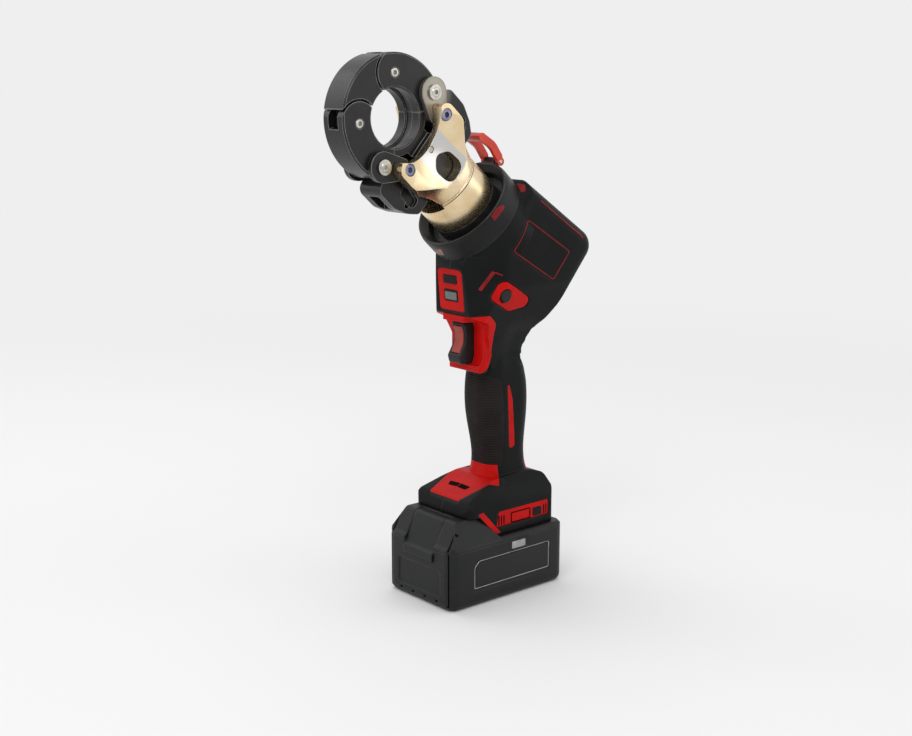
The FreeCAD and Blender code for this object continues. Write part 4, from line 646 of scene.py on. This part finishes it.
def roundBezel():
    # the red surround ends in a round C, and the corners left over belong to the black wall
    red = copyNode("trigger_bezel", "roundTriggerBezel")
    black = copyNode("trigger_bezel", "bezelCorners")
    deselectAll()
    bpy.ops.mesh.primitive_cube_add(size=1)
    former = bpy.context.object
    (rear, front), (bottom, top) = bezelRound["x"], bezelRound["z"]
    middleZ = (bottom + top) / 2
    former.location = mm((rear + front) / 2, 0, middleZ)
    former.scale = mm(front - rear, 2 * bezelRound["half"], top - bottom)
    bpy.ops.object.transform_apply(location=True, rotation=True, scale=True)
    for corner, upper in ((bezelRound["topCorner"], True), (bezelRound["lowCorner"], False)):
        bpy.ops.object.mode_set(mode="EDIT")
        bpy.ops.mesh.select_mode(type="EDGE")
        bpy.ops.mesh.select_all(action="DESELECT")
        bpy.ops.object.mode_set(mode="OBJECT")
        for edge in former.data.edges:
            ends = [former.data.vertices[i].co * 1000 for i in edge.vertices]
            edge.select = all(end.x < rear + bezelRound["near"] and (end.z > middleZ) == upper
                              for end in ends)
        bpy.ops.object.mode_set(mode="EDIT")
        bpy.ops.mesh.bevel(offset=mm(corner), segments=bezelRound["steps"], affect="EDGES")
        bpy.ops.object.mode_set(mode="OBJECT")
    for piece, kind in ((red, "INTERSECT"), (black, "DIFFERENCE")):
        cut = piece.modifiers.new("outline", "BOOLEAN")
        cut.operation = kind
        cut.object = former
        applyAll(piece)
        bpy.ops.object.shade_smooth_by_angle(angle=sharpFrom)
    bpy.data.objects.remove(former)
    finishPiece(red, redAbs, "housing")
    finishPiece(black, mouldedNylon, "housing")
    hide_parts("trigger_bezel")


roundBezel()

# where the deck's red stops: a slanted plane's direction and its distance in millimetres
footTrim = {"across": (-0.76, 0.65), "edge": 16.8, "rear": -14.0, "below": 93.0}


def trimFoot():
    # the deck's red stops short of the rear skirt: the spur past its edge is black
    deck = copyNode("foot_trims", "footDeckTrims")
    ahead, aside = footTrim["across"]
    low = lambda place: place.x > footTrim["rear"] and place.z < footTrim["below"]
    cutAcross(deck, low, (footTrim["edge"],), (ahead, aside, 0))
    cutAcross(deck, low, (footTrim["edge"],), (ahead, -aside, 0))
    bpy.ops.object.shade_smooth_by_angle(angle=sharpFrom)
    finishPiece(deck, redAbs, "housing")
    deck.data.materials.append(mouldedNylon)
    for face in deck.data.polygons:
        place = face.center * 1000
        if low(place) and ahead * place.x + aside * abs(place.y) > footTrim["edge"]:
            face.material_index = 1
    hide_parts("foot_trims")
    return deck


deckTrims = trimFoot()
print("bezel and deck trimmed")

# Red paint in the housing's engraved lines, thin and a little dull.
redPaint = makeFinish("redEngravingPaint", {
    "colour": "#8E1218", "drift": "#6E0E14", "driftSize": 9, "grainSize": 0.8, "specular": 0.2,
    "rough": (0.45, 0.6), "depth": 0.02, "edge": 0.2})
# The same paint where hands have rubbed it down to a pinkish grey.
fadedPaint = makeFinish("fadedPinkPaint", {
    "colour": "#A07A70", "drift": "#7C5A54", "driftSize": 4, "grainSize": 0.7, "specular": 0.2,
    "rough": (0.5, 0.65), "depth": 0.02, "edge": 0.2})
# Bright film edge round the battery's plate: a hair line of brushed aluminium.
silverFilm = makeFinish("brushedSilverFilm", {
    "colour": "#B9B6B4", "drift": "#9C9896", "driftSize": 12, "grainSize": 0.5, "metallic": 0.7,
    "rough": (0.3, 0.45), "depth": 0.01, "edge": 0.1})
# Satin black film on the bare plates.
blackFilm = makeFinish("satinBlackFilm", {
    "colour": "#111212", "drift": "#151616", "driftSize": 26, "grainSize": 0.6, "specular": 0.3,
    "rough": (0.3, 0.38), "depth": 0.02, "edge": 0.2})

housingMarks = {  # corners in millimetres, on the side that is seen
    "sidePanelLine": {
        "corners": ((-17.0, 37, 290.6), (-61.4, 37, 263.2), (-43.9, 37, 242.6), (-2.2, 37, 267.8)),
        "facing": (0, 1, 0), "rounding": 2.2, "rim": 0.8, "on": nodes["side_panels"], "finish": redPaint},
    "slantedBar": {
        "corners": ((12.7, 30.6, 254.2), (10.8, 32.3, 252.9), (18.3, 25.2, 239.0), (20.2, 23.4, 240.3)),
        "facing": (0.69, 0.72, 0), "rounding": 0.5, "cell": 1.2, "on": leftShell, "finish": redPaint},
    "faintBar": {
        "corners": ((10.8, 32.4, 253.4), (6.3, 35.6, 251.2), (6.6, 35.4, 250.3), (11.2, 32.1, 252.4)),
        "facing": (0.5, 0.86, 0), "cell": 1.2, "on": leftShell, "finish": redPaint},
    "ridgeLine": {
        "corners": ((-30.5, 35.4, 304.2), (-60.0, 36.0, 284.5), (-74.0, 36.0, 275.5), (-76.5, 36, 272.0),
                    (-75.6, 36, 271.6), (-73.0, 36, 274.4), (-59.6, 36.0, 283.2), (-31.0, 35.6, 302.6)),
        "facing": (-0.15, 0.95, 0.25), "cell": 2.0, "on": leftShell, "finish": redPaint},
    "collarMarkSide": {
        "corners": ((20.9, 38.2, 295.4), (17.6, 38.5, 291.8), (8.7, 39.3, 301.1), (10.2, 39.2, 303.2),
                    (16.4, 38.8, 301.4)),
        "facing": (0.1, 0.99, 0), "rounding": 0.7, "cell": 1.5, "on": nodes["front_collar"],
        "finish": redPaint},
}


def layPairs(looks, body):
    # each inlay, and its mirror image on the far side
    for name, look in looks.items():
        near = layInlay(name, look, body)
        mirrorPiece(near, name + "Far", look["finish"], body)


layPairs(housingMarks, "housing")
print("engraved lines laid in")

# Painted shade: a flat, matt black, darker than the plastic round it, laid in mould gaps, slots and grooves
# where only shade falls.
gapShade = makeFinish("paintedGapShade", {
    "colour": "#050505", "drift": "#070707", "driftSize": 12, "grainSize": 0.8, "specular": 0.05,
    "rough": (0.8, 0.9), "bump": 0.05, "edge": 0.1})
# Backlit window, off: a grey-green film behind clear plastic.
backlitWindow = makeFinish("greyBacklitWindow", {
    "colour": "#6E7472", "drift": "#585E5C", "driftSize": 2.5, "grainSize": 0.7, "specular": 0.4,
    "rough": (0.2, 0.3), "bump": 0.05, "edge": 0.1})

# the deck's slot and the outline round the insert are painted shade; the insert's window is the window
# itself
footMarks = {
    "deckSlotShade": {
        "corners": ((20.6, 0.5, 84.0), (16.3, 0.5, 85.5), (17.0, 11.7, 85.1), (21.2, 9.6, 83.6)),
        "facing": (0.33, 0, 0.94), "rounding": 0.8, "cell": 2.0, "on": deckTrims, "finish": gapShade},
    "insertOutlineShade": {
        "corners": ((-6.0, 33, 56.9), (-6.0, 33, 65.4), (-26.4, 33, 65.4), (-26.4, 33, 56.9)),
        "facing": (0, 1, 0), "rounding": 0.9, "rim": 0.8, "on": melted["foot_inserts"],
        "finish": gapShade},
    "insertWindow": {
        "corners": ((-29.0, 33, 57.4), (-29.0, 33, 64.4), (-38.3, 33, 64.4), (-38.3, 33, 57.4)),
        "facing": (0, 1, 0), "rounding": 1.6, "cell": 4.0, "on": melted["foot_inserts"],
        "finish": smokedWindow},
}
# The insert's upright grooves, each filled with painted shade: the front and the rear edge of each, and
# their foot and top.
insertRibs = {"A": (7.0, 5.9), "B": (4.4, 3.3), "C": (1.8, 0.7), "D": (-40.4, -41.4), "E": (-42.9, -43.9)}
ribFoot, ribTop = 57.2, 65.0
ribMarks = {
    "insertGrooveShade" + letter: {
        "corners": ((front, 33, ribFoot), (rear, 33, ribFoot), (rear, 33, ribTop), (front, 33, ribTop)),
        "facing": (0, 1, 0), "rounding": 0.3, "on": melted["foot_inserts"], "finish": gapShade}
    for letter, (front, rear) in insertRibs.items()}
ridgeMarks = {
    "ridgeDash": {
        "corners": ((-19.3, 21.5, 316.2), (-21.2, 29.4, 314.8), (-18.9, 32.0, 310.9), (-16.6, 30.0, 309.6)),
        "facing": (0.7, 0.4, 0.62), "rounding": 0.9, "cell": 1.2, "on": leftShell, "finish": redPaint},
}
for looks in (footMarks, ribMarks, ridgeMarks):
    layPairs(looks, "housing")

singleMarks = {  # these cross the middle, so they aren't mirrored
    "chinMark": {
        "corners": ((39.2, 3.6, 269.8), (37.6, -6.5, 268.0), (31.6, -9.0, 265.0), (32.6, 0.5, 265.4)),
        "facing": (0.67, -0.07, -0.74), "rounding": 0.8, "cell": 1.2, "on": nodes["front_collar"],
        "finish": fadedPaint, "slot": "collar_plastic"},
    "lowerWindow": {
        "corners": ((24, -6.4, 230.6), (24, -6.4, 236.4), (24, 6.4, 236.4), (24, 6.4, 230.6)),
        "facing": (1, 0, 0), "rounding": 0.6, "cell": 2.0, "on": nodes["panel_lenses"],
        "finish": backlitWindow, "slot": "lens"},
}
for name, look in singleMarks.items():
    layInlay(name, look, "housing")
print("foot, chin and window marks laid")

batteryGaps = {  # painted shade along the parting lines of the front cap and of the lid
    "capGapShade": {
        "corners": ((58.8, 33.0, 4.0), (58.8, 33.0, 45.8), (58.4, 34.7, 45.8), (58.4, 34.7, 4.0)),
        "facing": (0.95, 0.3, 0), "cell": 4.0, "sunk": 0.3, "on": nodes["battery_case"],
        "finish": gapShade},
    "lidGapShade": {
        "corners": ((58.0, 32.2, 47.0), (58.0, 33.8, 47.0), (49.8, 33.6, 60.4), (49.8, 32.1, 60.4)),
        "facing": (0.8, 0.1, 0.6), "cell": 3.0, "sunk": 0.3, "on": nodes["battery_lid"],
        "finish": gapShade},
}
layPairs(batteryGaps, "battery")

gaugeLens = {
    "corners": ((-2.3, 38.5, 38.2), (-2.3, 38.5, 43.8), (-16.1, 38.5, 43.8), (-16.1, 38.5, 38.2)),
    "facing": (0, 1, 0), "rounding": 0.7, "cell": 5.0, "on": nodes["battery_case"], "finish": gaugeGrey}
layInlay("gaugeLens", gaugeLens, "battery")

batteryPlate = {  # a bare black film inside a bright hair line
    "plateLine": {
        "corners": ((35.9, 38.1, 14.6), (35.9, 38.1, 31.6), (31.3, 38.1, 36.2), (-42.0, 38.1, 36.2),
                    (-42.0, 38.1, 14.6)),
        "facing": (0, 1, 0), "rounding": 1.5, "rim": 0.55, "proud": 0.12, "on": nodes["battery_case"],
        "finish": silverFilm},
    "plateFilm": {
        "corners": ((34.6, 38.1, 15.9), (34.6, 38.1, 31.0), (30.8, 38.1, 34.9), (-40.7, 38.1, 34.9),
                    (-40.7, 38.1, 15.9)),
        "facing": (0, 1, 0), "rounding": 1.2, "cell": 6.0, "on": nodes["battery_case"],
        "finish": blackFilm},
}
layPairs(batteryPlate, "battery")
print("battery plates laid")

studio = {  # metres, but for the camera: its place is in millimetres from the tool's own zero
    "backdrop": "#EFEFF0", "paper": "#F7F7F8", "paperRough": 0.9, "paperShine": 0.1, "worldShare": 0.62,
    "floorWide": 60.0, "fadeFrom": 0.45, "fadeTo": 1.5,
    "lens": 55.263, "sensor": 36.0, "nearest": 0.01,
    "spot": (697.4, 788.7, 398.3), "looks": (-0.6365, -0.7427, -0.2079)}
softboxes = {  # name: spot, aimed at, width, height, watts
    "keySoftbox": ((1.1, 0.9, 1.6), (0.02, 0, 0.2), 1.3, 1.0, 10.0),
    "fillSoftbox": ((-1.3, 1.3, 0.9), (0, 0, 0.2), 1.2, 1.2, 4.0),
    "topSoftbox": ((-0.2, -0.5, 2.0), (0, 0, 0.2), 1.4, 1.4, 7.0),
    "backSoftbox": ((0.6, -1.5, 1.0), (0, 0, 0.2), 1.0, 1.2, 4.0)}


def buildFloor():
    # a sheet of pale paper that turns into the backdrop's own colour away from the tool
    deselectAll()
    bpy.ops.mesh.primitive_plane_add(size=studio["floorWide"], location=(0, 0, 0))
    floor = bpy.context.object
    floor.name = "studioFloor"
    paper = bpy.data.materials.new("paleStudioPaper")
    paper.use_nodes = True
    tree = paper.node_tree
    shader = tree.nodes["Principled BSDF"]
    shader.inputs["Base Color"].default_value = linear(studio["paper"])
    shader.inputs["Roughness"].default_value = studio["paperRough"]
    shader.inputs["Specular IOR Level"].default_value = studio["paperShine"]
    place = addNode(tree, "ShaderNodeTexCoord", {}).outputs["Object"]
    reach = addNode(tree, "ShaderNodeVectorMath", {"operation": "LENGTH"}, {0: place}).outputs["Value"]
    faded = addNode(tree, "ShaderNodeMapRange", {
        "interpolation_type": "SMOOTHSTEP", "From Min": studio["fadeFrom"], "From Max": studio["fadeTo"]},
        {"Value": reach}).outputs[0]
    far = addNode(tree, "ShaderNodeEmission", {"Color": linear(studio["backdrop"])}).outputs[0]
    both = addNode(tree, "ShaderNodeMixShader", {}, {0: faded, 1: shader.outputs[0], 2: far}).outputs[0]
    tree.links.new(both, tree.nodes["Material Output"].inputs["Surface"])
    floor.data.materials.append(paper)
    floor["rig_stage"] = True


def lightStudio():
    # what the camera and reflections see is the plain backdrop; the rest lights the tool
    world = bpy.data.worlds.new("studioWorld")
    bpy.context.scene.world = world
    world.use_nodes = True
    tree = world.node_tree
    tree.nodes.clear()
    rays = addNode(tree, "ShaderNodeLightPath", {})
    seen = addNode(tree, "ShaderNodeMath", {"operation": "MAXIMUM"},
                   {0: rays.outputs["Is Camera Ray"], 1: rays.outputs["Is Glossy Ray"]}).outputs[0]
    seen = addNode(tree, "ShaderNodeMath", {"operation": "MAXIMUM"},
                   {0: seen, 1: rays.outputs["Is Transmission Ray"]}).outputs[0]
    lit = addNode(tree, "ShaderNodeBackground", {
        "Color": (1, 1, 1, 1), "Strength": studio["worldShare"]}).outputs[0]
    shown = addNode(tree, "ShaderNodeBackground", {
        "Color": linear(studio["backdrop"]), "Strength": 1.0}).outputs[0]
    both = addNode(tree, "ShaderNodeMixShader", {}, {0: seen, 1: lit, 2: shown}).outputs[0]
    addNode(tree, "ShaderNodeOutputWorld", {}, {"Surface": both})
    for name, (spot, aim, wide, tall, watts) in softboxes.items():
        bpy.ops.object.light_add(type="AREA", location=spot)
        lamp = bpy.context.object
        lamp.name = name
        lamp.data.shape = "RECTANGLE"
        lamp.data.size = wide
        lamp.data.size_y = tall
        lamp.data.energy = watts
        lamp.rotation_euler = (Vector(aim) - Vector(spot)).to_track_quat("-Z", "Y").to_euler()


def setCamera():
    # the photograph's own view
    bpy.ops.object.camera_add(location=mm(*studio["spot"]))
    camera = bpy.context.object
    camera.name = "photoCamera"
    camera.data.lens = studio["lens"]
    camera.data.sensor_width = studio["sensor"]
    camera.data.clip_start = studio["nearest"]
    camera.rotation_euler = Vector(studio["looks"]).to_track_quat("-Z", "Y").to_euler()
    bpy.context.scene.camera = camera


buildFloor()
lightStudio()
setCamera()
bpy.context.scene.view_settings.view_transform = "Standard"
print("studio set")

low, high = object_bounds()
sizes = {"cad": [list(cadLow), list(cadHigh)], "dressed": [list(low), list(high)]}
